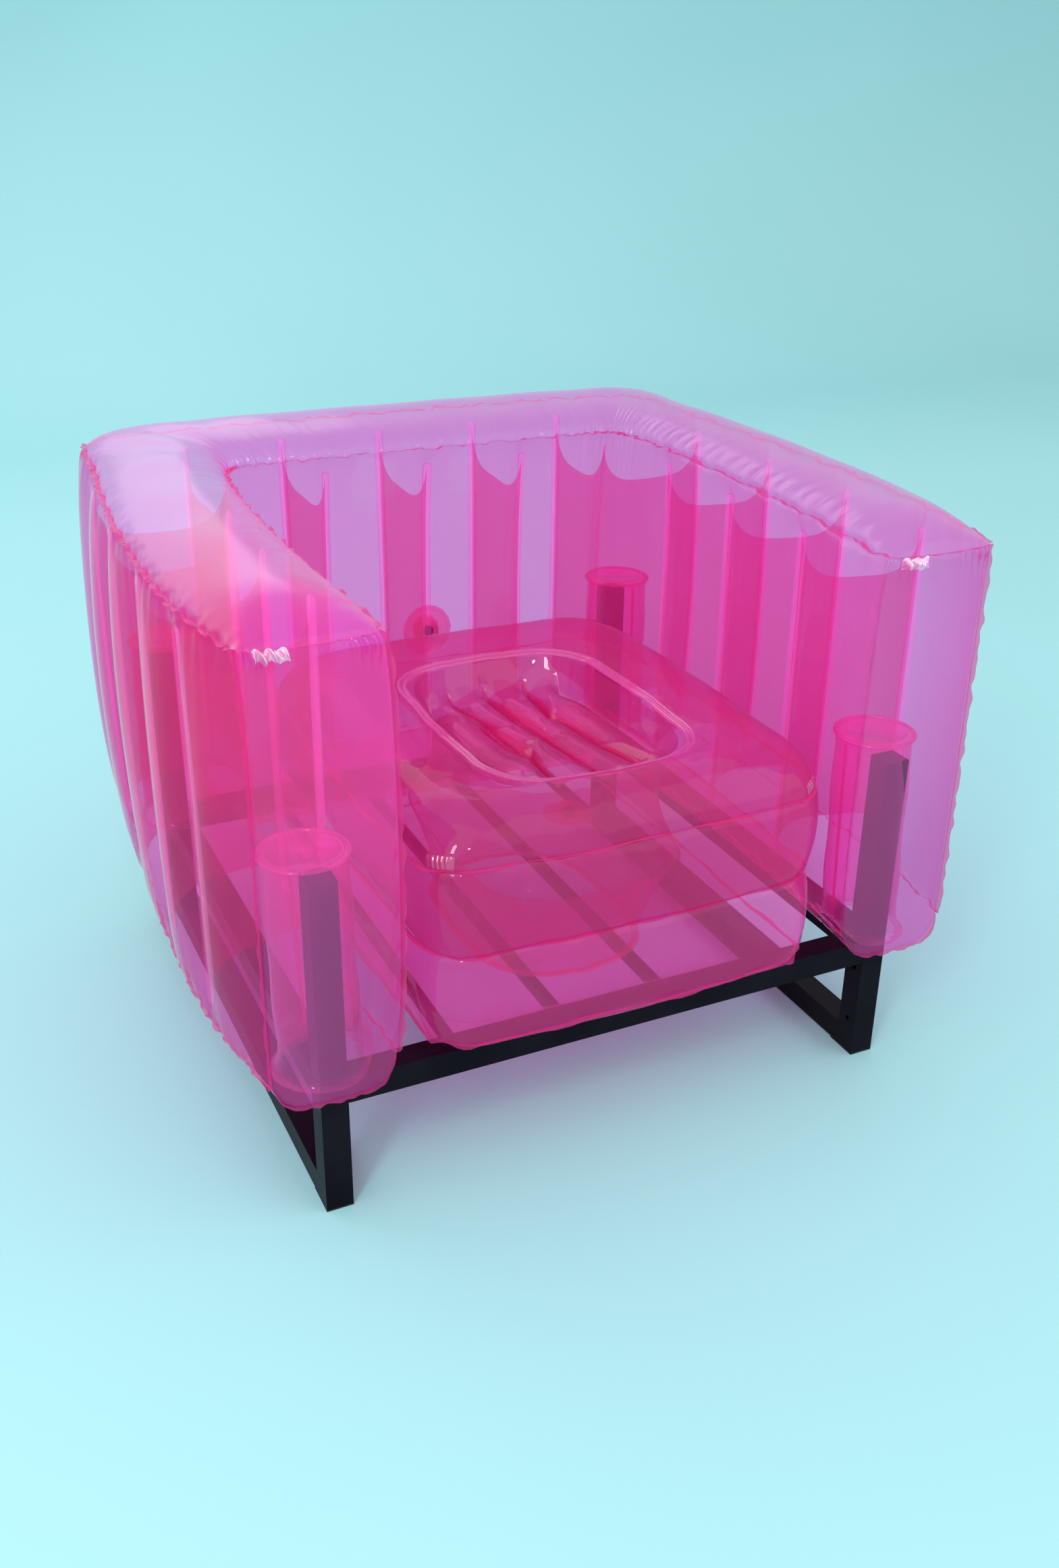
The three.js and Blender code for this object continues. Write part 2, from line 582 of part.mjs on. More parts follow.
// The air valve in its own frame: +Z points out of the film, and the film's outer face is at 0.
function valve(name, disc, place) {
  const wideBore = [[VALVE_BORE_RADIUS, VALVE_NECK_RISE], [VALVE_BORE_RADIUS, -VALVE_LEDGE_DEPTH]];
  const ledgeFloor = -VALVE_LEDGE_DEPTH - VALVE_LEDGE;
  const neck = turned([
    ...wideBore, [PIN_STEM_RADIUS + GAP, -VALVE_LEDGE_DEPTH], [PIN_STEM_RADIUS + GAP, ledgeFloor],
    [VALVE_BORE_RADIUS, ledgeFloor], [VALVE_BORE_RADIUS, -VALVE_BARREL],
    [VALVE_NECK_RADIUS, -VALVE_BARREL], [VALVE_NECK_RADIUS, VALVE_NECK_RISE], wideBore[0],
  ], VALVE_SIDES);
  add(`${name}_seat`, join(place(neck), disc), VALVE_PINK);
  const collarFloor = GAP + FILM + GAP;
  const points = [];
  for (let i = 0; i < COLLAR_RIDGES; i += 1) {
    COLLAR_RIDGE_SHARES.forEach((share, corner) => {
      const angle = 2 * Math.PI * (i + share) / COLLAR_RIDGES;
      const radius = COLLAR_RADIUS - (corner < 2 ? 0 : COLLAR_RIDGE_HEIGHT);
      points.push(new THREE.Vector2(radius * Math.cos(angle), radius * Math.sin(angle)));
    });
  }
  const outline = new THREE.ExtrudeGeometry(new THREE.Shape(points), {
    depth: COLLAR_HEIGHT, bevelEnabled: false,
  }).translate(0, 0, collarFloor);
  const collar = cut(
    outline,
    rod(VALVE_NECK_RADIUS + GAP, 0, 0, 0, collarFloor + COLLAR_HEIGHT - COLLAR_TOP, VALVE_SIDES),
    rod(COLLAR_MOUTH_RADIUS, 0, 0, 0, collarFloor + COLLAR_HEIGHT + OVERRUN, VALVE_SIDES),
  );
  add(`${name}_collar`, place(collar), VALVE_PINK);
  const discTop = ledgeFloor - PIN_DISC_GAP;
  const pin = turned([
    [0, PIN_HEAD_TOP], [0, discTop - PIN_DISC_THICKNESS],
    [PIN_DISC_RADIUS, discTop - PIN_DISC_THICKNESS], [PIN_DISC_RADIUS, discTop],
    [PIN_STEM_RADIUS, discTop], [PIN_STEM_RADIUS, PIN_HEAD_FLOOR], [PIN_RADIUS, PIN_HEAD_FLOOR],
    [PIN_RADIUS, PIN_HEAD_TOP], [0, PIN_HEAD_TOP],
  ], VALVE_SIDES);
  add(`${name}_pin`, place(pin), VALVE_DARK);
}

// The outer wall carries the body's valve, low in the lobe beside the middle of the back.
function buildOuterWall() {
  const station = BODY_VALVE_SPAN * STEPS_PER_SPAN;
  const height = seamTop(OUTER_BACK) - SEAM_BOTTOM;
  const spot = wallPoint("outer", station, BODY_VALVE_RISE / height);
  spot.y += FILM / 2;
  const place = (geometry) => geometry.rotateX(-Math.PI / 2).translate(spot.x, spot.y, spot.z);
  const through = (radius) => place(rod(radius, 0, 0, -OVERRUN, OVERRUN, VALVE_SIDES));
  const grid = wallGrid("outer", 0, STATIONS);
  add("body_outer_wall", cut(filmSheet(grid), through(VALVE_NECK_RADIUS + GAP)), FILM_PINK);
  const lobe = grid.slice(station - STEPS_PER_SPAN / 2, station + STEPS_PER_SPAN / 2 + 1);
  const lifted = lobe.map((row) => row.map((point) => point.clone().setY(point.y + FILM + GAP)));
  const disc = solidOf(filmSheet(lifted)).intersect(solidOf(
    place(rod(VALVE_DISC_RADIUS, 0, 0, -VALVE_DISC_REACH, VALVE_DISC_REACH, VALVE_SIDES)),
  ));
  valve("body_valve", cut(geometryOf(disc), through(VALVE_BORE_RADIUS)), place);
}

function buildBody() {
  const belly = spanGrid(bellyHeight);
  const shift = (grid, rise) => grid.map((row) => row.map((point) => point.clone().setZ(point.z + rise)));
  const underBelly = slab(shift(belly, FILM + GAP), shift(belly, -TUBE), false);
  const holes = [];
  for (const [endName, end] of ENDS) {
    for (const [sideName, side] of SIDES) {
      const [x, y] = [side * TUBE_X, end * SLEEVE_Y];
      holes.push(rod(SLEEVE_RADIUS, x, y, 0, SLEEVE_TOP, SLEEVE_SIDES));
      add(`sleeve_${endName}_${sideName}`, cut(sleeve(x, y), underBelly), FILM_PINK);
    }
  }
  add("body_belly_panel", cut(filmSheet(belly), ...holes), FILM_PINK);
  add("body_crown_panel", filmSheet(spanGrid(crownHeight)), FILM_PINK);
  add("body_inner_wall", filmSheet(wallGrid("inner", 0, STATIONS)), FILM_PINK);
  SIDES.forEach(([sideName, side]) => add(`arm_nose_${sideName}`, nosePanel(side), FILM_PINK));
  buildOuterWall();
  buildWebs();
}

// Cushion rings are rounded oblongs with bowed sides: half width, front, back and height.
const CUSHION_HALF =
  INNER_HALF - INNER_LOBE - CUSHION_SIDE_BOW - CUSHION_BULGE - CUSHION_SIDE_SLACK;
const CUSHION_FRONT = FRONT - CUSHION_FRONT_SET;
const CUSHION_BACK = INNER_BACK - CUSHION_BACK_SLACK;
const CUSHION_REST = RAIL_TOP + GAP + FILM / 2;
const CUSHION_SEAT = SLAT_TOP + GAP + FILM + GAP + FILM / 2;
const CUSHION_SEAM_TOP = RAIL_TOP + CUSHION_TOP_RISE;
const CUSHION_CREST_TOP = CUSHION_SEAM_TOP + CUSHION_CREST_RISE;

const outline = (sideDraw, endDraw, z) => ({
  half: CUSHION_HALF - sideDraw, front: CUSHION_FRONT + endDraw, back: CUSHION_BACK - endDraw, z,
});
const grown = (size, by, z) => ({
  half: size.half + by, front: size.front - by, back: size.back + by, z,
});
const mix = (low, high, share) => ({
  half: THREE.MathUtils.lerp(low.half, high.half, share),
  front: THREE.MathUtils.lerp(low.front, high.front, share),
  back: THREE.MathUtils.lerp(low.back, high.back, share),
  z: THREE.MathUtils.lerp(low.z, high.z, share),
});

function ring(size, radius) {
  const middle = (size.front + size.back) / 2;
  const depth = (size.back - size.front) / 2;
  const points = [];
  for (let quarter = 0; quarter < 4; quarter += 1) {
    const turn = quarter * Math.PI / 2;
    const [cos, sin] = [Math.round(Math.cos(turn)), Math.round(Math.sin(turn))];
    const bow = CUSHION_SIDE_BOW;
    points.push([cos * (size.half + bow), sin * (depth + bow)]);
    const centre = [(size.half - radius) * (cos - sin), (depth - radius) * (cos + sin)];
    for (let step = 0; step <= CORNER_STEPS; step += 1) {
      const angle = turn + step / CORNER_STEPS * Math.PI / 2;
      points.push([centre[0] + radius * Math.cos(angle), centre[1] + radius * Math.sin(angle)]);
    }
  }
  return points.map(([x, y]) => new THREE.Vector3(x, middle + y, size.z));
}

const outerRing = (size) => ring(size, CUSHION_CORNER_RADIUS);
const wellRing = (size) => ring(size, WELL_CORNER_RADIUS);

// A looped sheet through a list of rings, and the point that closes it.
function ringSheet(rings, centre) {
  const rows = rings[0].map((point, i) => rings.map((loop) => loop[i]));
  if (centre) {
    rows.forEach((row) => row.push(centre.clone()));
  }
  return filmSheet(rows, true);
}

function band(low, high) {
  const start = { ...low, z: low.z + FILM + GAP };
  const end = { ...high, z: high.z - FILM - GAP };
  return ringSheet(BAND_SHARES.map((share) => {
    const size = mix(start, end, share);
    return outerRing(grown(size, CUSHION_BULGE * Math.sqrt(Math.sin(Math.PI * share)), size.z));
  }));
}

// How deep the well hangs, from its front at -1 to its back at 1.
const wellSag = (place) => WELL_DEPTH * (1 - WELL_FRONT_RISE_SHARE * ((1 - place) / 2) ** 2);

// The well is a dish on a square grid that is rounded to a superellipse. Its floor has lobes
// from front to back, which rise from the creases between them.
function wellDish(edge) {
  const columns = [-1, 1];
  for (let i = 0; i <= 2 * WELL_LOBES; i += 1) {
    columns.push(WELL_FOOT_SHARE * (i / WELL_LOBES - 1));
  }
  columns.sort((a, b) => a - b);
  const backRows = [...WELL_ROW_SHARES, WELL_FOOT_SHARE, 1];
  const rows = [...backRows.slice(1).reverse().map((share) => -share), ...backRows];
  const middle = (edge.front + edge.back) / 2;
  const flange = 1 - FLANGE / edge.half;
  return filmSheet(columns.map((u) => rows.map((v) => {
    const reach = Math.max(Math.abs(u), Math.abs(v));
    const corner = Math.abs(u) ** WELL_SQUARENESS + Math.abs(v) ** WELL_SQUARENESS;
    const round = reach ? reach / corner ** (1 / WELL_SQUARENESS) : 1;
    const atEdge = reach > WELL_FOOT_SHARE;
    const lobe = Math.sin(Math.PI * WELL_LOBES * (u / WELL_FOOT_SHARE + 1) / 2) ** 2;
    const rise = Math.abs(v) < WELL_FOOT_SHARE ? WELL_LOBE_HEIGHT * lobe : 0;
    const spread = round * (atEdge ? 1 : flange);
    return new THREE.Vector3(
      u * spread * edge.half, middle + v * spread * (edge.back - middle),
      edge.z - (atEdge ? 0 : wellSag(v) - rise),
    );
  })));
}

function buildCushion() {
  const base = outline(CUSHION_BASE_DRAW, 0, RAIL_TOP + CUSHION_SEAM_RISE);
  const waist = outline(CUSHION_WAIST_DRAW, 0, RAIL_TOP + CUSHION_WAIST_RISE);
  const topSeam = outline(0, 0, CUSHION_SEAM_TOP);
  const crest = outline(CUSHION_CREST_DRAW, CUSHION_CREST_DRAW, CUSHION_CREST_TOP);
  const wellFront = CUSHION_FRONT + WELL_FRONT_MARGIN;
  const wellEdge = {
    half: WELL_WIDTH / 2, front: wellFront, back: wellFront + WELL_LENGTH,
    z: CUSHION_CREST_TOP - WELL_LIP_DROP,
  };
  const rise = (share) => ({
    ...mix(topSeam, crest, share),
    z: CUSHION_SEAM_TOP + CUSHION_CREST_RISE * Math.sqrt(1 - (1 - share) ** 2),
  });
  add("cushion_top_panel", ringSheet([
    outerRing(grown(topSeam, FLANGE, topSeam.z)), ...CREST_SHARES.map((share) => outerRing(rise(share))),
    outerRing(crest), wellRing(grown(wellEdge, FLANGE, wellEdge.z)), wellRing(wellEdge),
  ]), FILM_PINK);
  add("cushion_upper_band", band(waist, topSeam), FILM_PINK);
  add("cushion_lower_band", band(base, waist), FILM_PINK);
  add("cushion_well", wellDish(grown(wellEdge, FLANGE / 2, wellEdge.z - FILM - GAP)), FILM_PINK);
  const pillarTop = wellRing(grown(wellEdge, -WELL_DRAW, wellEdge.z - 2 * (FILM + GAP)));
  const wellMiddle = (wellEdge.front + wellEdge.back) / 2;
  pillarTop.forEach((point) => {
    point.z -= wellSag((point.y - wellMiddle) / (wellEdge.back - wellMiddle));
  });
  const pillarWaist = grown(wellEdge, PILLAR_WAIST_GROWTH, waist.z);
  const foot = grown(wellEdge, -PILLAR_FOOT_DRAW, CUSHION_SEAT + FILM + GAP);
  add("cushion_waist_web", ringSheet([
    outerRing(grown(waist, FLANGE, waist.z)), wellRing(grown(pillarWaist, FILM + GAP, waist.z)),
  ]), WEB_PINK);
  add("cushion_pillar", ringSheet([pillarTop, wellRing(pillarWaist), wellRing(foot)]), WEB_PINK);
  const rest = outline(CUSHION_BASE_DRAW + CUSHION_REST_DRAW, CUSHION_REST_DRAW, CUSHION_REST);
  const railInside = -HALF_DEPTH + TUBE + FILM + CUSHION_SIDE_BOW;
  const sag = (draw, z) => ({
    half: CUSHION_HALF - draw, front: Math.max(railInside, CUSHION_FRONT + draw),
    back: CUSHION_BACK - draw, z,
  });
  const seat = sag(CUSHION_SAG_DRAW, CUSHION_SEAT);
  seat.front += CUSHION_SEAM_RISE;
  const centre = new THREE.Vector3(0, (seat.front + seat.back) / 2, CUSHION_SEAT);
  const bottom = ringSheet([
    outerRing(grown(base, FLANGE, base.z)), outerRing(base), outerRing(rest),
    outerRing(sag(CUSHION_SAG_DRAW - CUSHION_SEAM_RISE, CUSHION_REST)), outerRing(seat),
  ], centre);
  const spot = [
    slatPlace(SLAT_COUNT - 1) - SLAT_SIZE / 2 - CUSHION_VALVE_SLAT_GAP - COLLAR_RADIUS,
    CUSHION_BACK - CUSHION_VALVE_BACK_MARGIN, CUSHION_SEAT - FILM / 2,
  ];
  const place = (geometry) => geometry.rotateX(Math.PI).translate(...spot);
  const hole = place(rod(VALVE_NECK_RADIUS + GAP, 0, 0, -OVERRUN, OVERRUN, VALVE_SIDES));
  add("cushion_bottom_panel", cut(bottom, hole), FILM_PINK);
  const disc = cut(
    rod(VALVE_DISC_RADIUS, 0, 0, GAP, GAP + FILM, VALVE_SIDES),
    rod(VALVE_BORE_RADIUS, 0, 0, 0, OVERRUN, VALVE_SIDES),
  );
  valve("cushion_valve", place(disc), place);
}

buildFrame();
buildBody();
buildCushion();

// The origin lies on the floor under the middle of the chair's bounding box.
chair.updateMatrixWorld(true);
const bounds = new THREE.Box3().setFromObject(chair);
const centre = bounds.getCenter(new THREE.Vector3());
chair.position.set(-centre.x, -centre.y, -bounds.min.z);

export default chair;
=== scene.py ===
import math

import bpy
import numpy as np
from mathutils import Matrix, Vector


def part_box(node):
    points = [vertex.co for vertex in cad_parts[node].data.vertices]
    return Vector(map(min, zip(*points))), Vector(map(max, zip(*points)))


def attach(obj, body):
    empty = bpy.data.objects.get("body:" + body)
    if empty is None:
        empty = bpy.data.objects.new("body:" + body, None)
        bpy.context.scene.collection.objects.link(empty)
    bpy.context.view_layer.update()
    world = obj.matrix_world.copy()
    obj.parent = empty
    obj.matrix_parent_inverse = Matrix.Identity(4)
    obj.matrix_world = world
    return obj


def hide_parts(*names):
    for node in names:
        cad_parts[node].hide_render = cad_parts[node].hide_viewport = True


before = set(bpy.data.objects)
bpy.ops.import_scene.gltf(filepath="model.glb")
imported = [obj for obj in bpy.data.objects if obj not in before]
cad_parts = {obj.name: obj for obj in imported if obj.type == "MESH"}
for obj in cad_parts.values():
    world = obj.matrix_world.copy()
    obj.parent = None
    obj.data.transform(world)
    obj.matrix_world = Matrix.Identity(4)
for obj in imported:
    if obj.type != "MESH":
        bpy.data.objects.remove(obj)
scene = bpy.context.scene
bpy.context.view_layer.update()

# Sizes of the model's source, in millimetres
FRAME_WIDTH, FRAME_DEPTH, RAIL_TOP, TUBE = 708, 702, 164, 30
HALF_WIDTH, HALF_DEPTH = FRAME_WIDTH / 2, FRAME_DEPTH / 2
UPRIGHT_TOP, UPRIGHT_INSET, SLAT_TOP = 397.3, 22, 153
SIDE_OVERHANG, FRONT_OVERHANG, BACK_OVERHANG = 80, 18, 52
ARM_WIDTH, BACK_DEPTH = 144, 195
OUTER_HALF = HALF_WIDTH + SIDE_OVERHANG
INNER_HALF = OUTER_HALF - ARM_WIDTH
FRONT = -HALF_DEPTH - FRONT_OVERHANG
OUTER_BACK = HALF_DEPTH + BACK_OVERHANG
INNER_BACK = OUTER_BACK - BACK_DEPTH
SEAM_LIFT, REST_GAP = 32, 0.55
SEAM_BOTTOM = RAIL_TOP + SEAM_LIFT
BELLY_LOW = RAIL_TOP + REST_GAP
TOP_SEAM_RISE, TOP_SEAM_SLOPE = 484, 20
CROWN, CROWN_RUN, NOSE, FRONT_BOW = 30, 95, 20, 9
# Which way is out of a wall and to an arm, how far a lobe stands out from its welds, and where
# the film starts at a weld
SIGN, SIDES = {"outer": 1, "inner": -1}, {"left": -1, "right": 1}
LOBE = {"outer": 15, "inner": -22}
LOBE_START = {"outer": -3, "inner": 2}
# The weld lines run round the U in SPANS equal spans. Their points are shares of the half
# width and of the depth, and the webs are welded at the whole numbers in WELDS.
SPANS = 16
SHARES = {
    "outer_seam": [(0.945, 0), (0.993, 0.174), (1, 0.372), (0.982, 0.582), (0.942, 0.791),
                   (0.894, 0.962), (0.624, 0.994), (0.32, 0.999), (0, 1)],
    "outer_groove": [(0.945, 0), (1.002, 0.174), (1.012, 0.372), (1.005, 0.582), (0.982, 0.791),
                     (0.917, 0.96), (0.624, 0.991), (0.32, 0.995), (0, 0.996)],
    "inner_seam": [(0.955, 0), (0.993, 0.296), (1, 0.567), (0.979, 0.818), (0.938, 0.948),
                   (0.886, 0.991), (0.766, 0.998), (0.469, 1), (0, 1)],
    "inner_groove": [(0.917, 0), (0.997, 0.296), (1.007, 0.567), (1, 0.818), (0.976, 0.969),
                     (0.903, 1.059), (0.731, 1.049), (0.469, 1.042), (0, 1.038)],
}
WELDS = {"outer": [0, 1, 2, 3, 4, 6, 7, 8, 9, 10, 12, 13, 14, 15, 16],
         "inner": [0, 1, 2, 3, 5, 7, 8, 9, 11, 13, 14, 15, 16]}
# The row frame's origin is under the middle of the bounding box
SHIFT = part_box("front_rail")[0][1] * 1000 + HALF_DEPTH


def to_row(points):
    """Millimetres in the source's frame to metres in the row frame."""
    return (np.asarray(points, float) + (0, SHIFT, 0)) / 1000


# Mesh helpers
def smooth_object(name, points, faces, material):
    mesh = bpy.data.meshes.new(name)
    mesh.from_pydata(points.reshape(-1, 3).tolist(), [], faces)
    mesh.validate()
    mesh.polygons.foreach_set("use_smooth", [True] * len(mesh.polygons))
    mesh.materials.append(material)
    obj = bpy.data.objects.new(name, mesh)
    scene.collection.objects.link(obj)
    return obj


def make(name, points, faces, material, body, replaces=(), padded=None):
    """A piece of film from points in metres, on a body."""
    obj = smooth_object(name, points, faces, material)
    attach(obj, body)
    if replaces:
        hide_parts(*replaces)


def grid_faces(rows, columns, loop_rows=False, start=0):
    """Faces over a grid of points, closed round its rows if loop_rows."""
    faces = []
    for i in range(rows if loop_rows else rows - 1):
        k = (i + 1) % rows
        for j in range(columns - 1):
            faces.append((start + i * columns + j, start + k * columns + j,
                          start + k * columns + j + 1, start + i * columns + j + 1))
    return faces


def sheets(name, grids, material, body, loop_rows=False, **options):
    """Sheets of film through grids of points in millimetres, as one piece."""
    points, faces, start = [], [], 0
    for grid in grids:
        rows, columns = grid.shape[:2]
        points.append(to_row(grid).reshape(-1, 3))
        faces += grid_faces(rows, columns, loop_rows, start)
        start += rows * columns
    make(name, np.concatenate(points), faces, material, body, **options)


def sheet(name, grid, material, body, **options):
    sheets(name, [grid], material, body, **options)


def film_over(node, grids, material, **options):
    """Film in place of one of the inflated body's solids."""
    sheets(f"{node}_film", grids, material, "inflated_body", replaces=[node], **options)


# Curves and waves
def blend(low, high, share):
    return low * (1 - share) + high * share


def grid_of(u, v):
    return np.meshgrid(u, v, indexing="ij")


def through(points, t):
    """Centripetal Catmull-Rom curve through points, at t from 0 to 1."""
    points = np.asarray(points, float)
    last = len(points) - 1
    place = np.clip(np.asarray(t, float), 0, 1) * last
    k = np.minimum(place.astype(int), last - 1)
    w = (place - k)[..., None]
    ring = np.concatenate([[2 * points[0] - points[1]], points, [2 * points[-1] - points[-2]]])
    p0, p1, p2, p3 = ring[k], ring[k + 1], ring[k + 2], ring[k + 3]
    d0, d1, d2 = (np.sqrt(np.linalg.norm(b - a, axis=-1, keepdims=True))
                  for a, b in ((p0, p1), (p1, p2), (p2, p3)))
    t1 = ((p1 - p0) / d0 - (p2 - p0) / (d0 + d1) + (p2 - p1) / d1) * d1
    t2 = ((p2 - p1) / d1 - (p3 - p1) / (d1 + d2) + (p3 - p2) / d2) * d1
    return (p1 + w * t1 + w ** 2 * (-3 * p1 + 3 * p2 - 2 * t1 - t2)
            + w ** 3 * (2 * p1 - 2 * p2 + t1 + t2))


def plan_line(name):
    """A weld line in plan, from the left arm's front round the back to the right arm's."""
    half, back = (OUTER_HALF, OUTER_BACK) if name.startswith("outer") else (INNER_HALF, INNER_BACK)
    right = [(x * half, FRONT + y * (back - FRONT)) for x, y in SHARES[name]]
    return [(-x, y) for x, y in right[:-1]] + right[::-1]


LINES = {name: plan_line(name) for name in SHARES}


def line(name, s):
    """The points of a weld line at s, which counts the spans."""
    return through(LINES[name], np.asarray(s, float) / SPANS)


def outwards(name, s):
    """The unit directions out of the U, square to a weld line."""
    s = np.asarray(s, float)
    along = line(name, np.minimum(s + 0.01, SPANS)) - line(name, np.maximum(s - 0.01, 0))
    out = np.stack([-along[..., 1], along[..., 0]], -1)
    return out / np.linalg.norm(out, axis=-1, keepdims=True)


def wave(seed, s, periods=(2.3, 3.7, 5.9, 8.3), size=1.0):
    """A gentle wrinkle along a weld, in units of size."""
    rng = np.random.default_rng(seed)
    total = np.zeros_like(np.asarray(s, float))
    for k, f in enumerate(periods):
        total += np.sin(2 * np.pi * (f * s + rng.random())) * rng.uniform(0.6, 1) / (1 + 0.35 * k)
    return size * total / 1.8


def eased(count, ends=0.75):
    """Shares from 0 to 1, closer together near both ends."""
    t = np.linspace(0, 1, count)
    return ends * (0.5 - 0.5 * np.cos(np.pi * t)) + (1 - ends) * t


def seam_top(y):
    """The height of the top weld, which rises towards the back."""
    return RAIL_TOP + TOP_SEAM_RISE + TOP_SEAM_SLOPE * (y - FRONT) / (OUTER_BACK - FRONT)


# A groove runs along each weld of a web, from a little over the bottom seam to GROOVE_TOP
# below the top one, and its ends are rounded.
GROOVE_TOP, GROOVE_LOW, SPAN_LENGTH = 20.0, 14.0, 120.0
# Half the width of a groove's flat floor, and how round a lobe is (1 is a half circle)
GROOVE_HALF, LOBE_ROUND = 2.2, 1.12


def lobe_share(kind, s, past_end):
    """The lobe's rise, from 0 in a groove to 1: past_end is the distance past the groove's end."""
    welds = np.array(WELDS[kind], float)
    k = np.clip(np.searchsorted(welds, s, side="right") - 1, 0, len(welds) - 2)
    length = welds[k + 1] - welds[k]
    share = np.clip((s - welds[k]) / length, 0, 1)
    share = np.minimum(share, 1 - share)
    # The U's ends have a seam and no groove
    grooved = np.where((s < 0.5) | (s > SPANS - 0.5), 0, np.maximum(past_end, 0))
    share = np.minimum(np.hypot(share, grooved / (length * SPAN_LENGTH)), 0.5)
    floor = GROOVE_HALF / (length * SPAN_LENGTH)
    up = 1 - np.clip((share - floor) / (0.5 - floor), 0, 1)
    low = math.sqrt(LOBE_ROUND ** 2 - 1)
    return (np.sqrt(LOBE_ROUND ** 2 - up ** 2) - low) / (LOBE_ROUND - low)


# Seeds of each weld's waves and of the pleats beside it, and how far from the weld both fade
# out. Within FRONT_REACH of a span from an arm's front, the welds wander more.
WANDER_SEEDS = {"outer": {"top": 11, "bottom": 13}, "inner": {"top": 21, "bottom": 23}}
PLEAT_SEEDS = {"outer": {"top": 51, "bottom": 52}, "inner": {"top": 61, "bottom": 62}}
WANDER_REACH, PLEAT_REACH, FRONT_REACH = 22, 55, 0.12
# The walls' plan swells from seam to groove by this power of a sine over the height
WALL_FULLNESS = 0.35


def seam_wander(kind, end, s):
    """How a weld wanders outwards and up along its length, shared by what meets there."""
    seed = WANDER_SEEDS[kind][end]
    corner = 1 + 1.1 * np.exp(-np.minimum(s, SPANS - s) / FRONT_REACH)
    return wave(seed, s, size=2.2) * corner, wave(seed + 1, s, size=1.9) * corner


def wall(kind, s, h):
    """A point of a wall in millimetres: s counts the welds and h is the share of the height."""
    s, h = np.broadcast_arrays(np.asarray(s, float), np.asarray(h, float))
    full = np.abs(np.sin(np.pi * h)) ** WALL_FULLNESS
    plan = blend(line(kind + "_seam", s), line(kind + "_groove", s), full[..., None])
    out = outwards(kind + "_groove", s)
    top = seam_top(plan[..., 1])
    z = SEAM_BOTTOM + (top - SEAM_BOTTOM) * h
    past_end = np.maximum(z - top + GROOVE_TOP + 6 * np.sin(9 * s), SEAM_BOTTOM + GROOVE_LOW - z)
    swell = (LOBE_START[kind] + LOBE[kind] * lobe_share(kind, s, past_end)) * full
    ripple = 0
    for end, away in (("top", top - z), ("bottom", z - SEAM_BOTTOM)):
        near = np.exp(-away / WANDER_REACH)
        sideways, upwards = seam_wander(kind, end, s)
        ripple = ripple + sideways * near
        z = z + upwards * near
        pleats = wave(PLEAT_SEEDS[kind][end], s, periods=(6.1, 9.7, 13.3), size=1.3)
        ripple = ripple + pleats * np.exp(-away / PLEAT_REACH) * (1 - near)
    # Slow unevenness, as hand-filled film has
    ripple = ripple + wave(41, s + 0.7 * h, periods=(0.7, 1.3), size=1.1) * full
    plan = plan + out * (swell + SIGN[kind] * ripple)[..., None]
    return np.stack([plan[..., 0], np.maximum(plan[..., 1], FRONT), z], -1)


# Materials
def new_material(name):
    material = bpy.data.materials.new(name)
    material.use_nodes = True
    nodes = material.node_tree.nodes
    nodes.clear()
    return material, nodes, material.node_tree.links


def set_inputs(node, **values):
    for name, value in values.items():
        node.inputs[name.replace("_", " ")].default_value = value


def add(nodes, kind, **values):
    node = nodes.new("ShaderNode" + kind)
    set_inputs(node, **values)
    return node


def noise(nodes, links, scale, detail, rough=0.5, stretch=None):
    """Noise in the object's own coordinates, in metres."""
    texture = add(nodes, "TexNoise", Scale=scale, Detail=detail, Roughness=rough)
    place = add(nodes, "TexCoord").outputs["Object"]
    if stretch:
        mapping = add(nodes, "Mapping", Scale=stretch)
        links.new(place, mapping.inputs["Vector"])
        place = mapping.outputs["Vector"]
    links.new(place, texture.inputs["Vector"])
    return texture.outputs["Fac"]


def ramp(nodes, links, source, low, high, start=0.0, end=1.0):
    """From low to high as the source goes from start to end."""
    node = add(nodes, "MapRange", From_Min=start, From_Max=end, To_Min=low, To_Max=high)
    links.new(source, node.inputs["Value"])
    return node.outputs["Result"]


def maths(nodes, links, operation, *values):
    """A Math node's result: each value is a socket to link, or a number."""
    node = add(nodes, "Math")
    node.operation = operation
    for slot, value in zip(node.inputs, values):
        if isinstance(value, (int, float)):
            slot.default_value = value
        else:
            links.new(value, slot)
    return node.outputs["Value"]


def mix_colour(nodes, links, factor, low, high):
    node = add(nodes, "Mix")
    node.data_type = "RGBA"
    set_inputs(node, A=(*low, 1), B=(*high, 1))
    links.new(factor, node.inputs["Factor"])
    return node.outputs["Result"]


def relief(nodes, links, height, strength, distance):
    """A normal from a height, over a distance in metres."""
    node = add(nodes, "Bump", Strength=strength, Distance=distance)
    links.new(height, node.inputs["Height"])
    return node.outputs["Normal"]


def surface(nodes, links, shader):
    links.new(shader, add(nodes, "OutputMaterial").inputs["Surface"])


# The film's mottle and fine creases as shares beside its slant and its wobble, its scatter face
# on and at a slant, and the distances of the film's relief and of the solids', in metres
MOTTLE_SHARE, CREASE_SHARE, FACE_ON, AT_SLANT = 0.25, 0.12, 0.85, 1.35
FILM_RELIEF, SOLID_RELIEF = 0.004, 0.0008


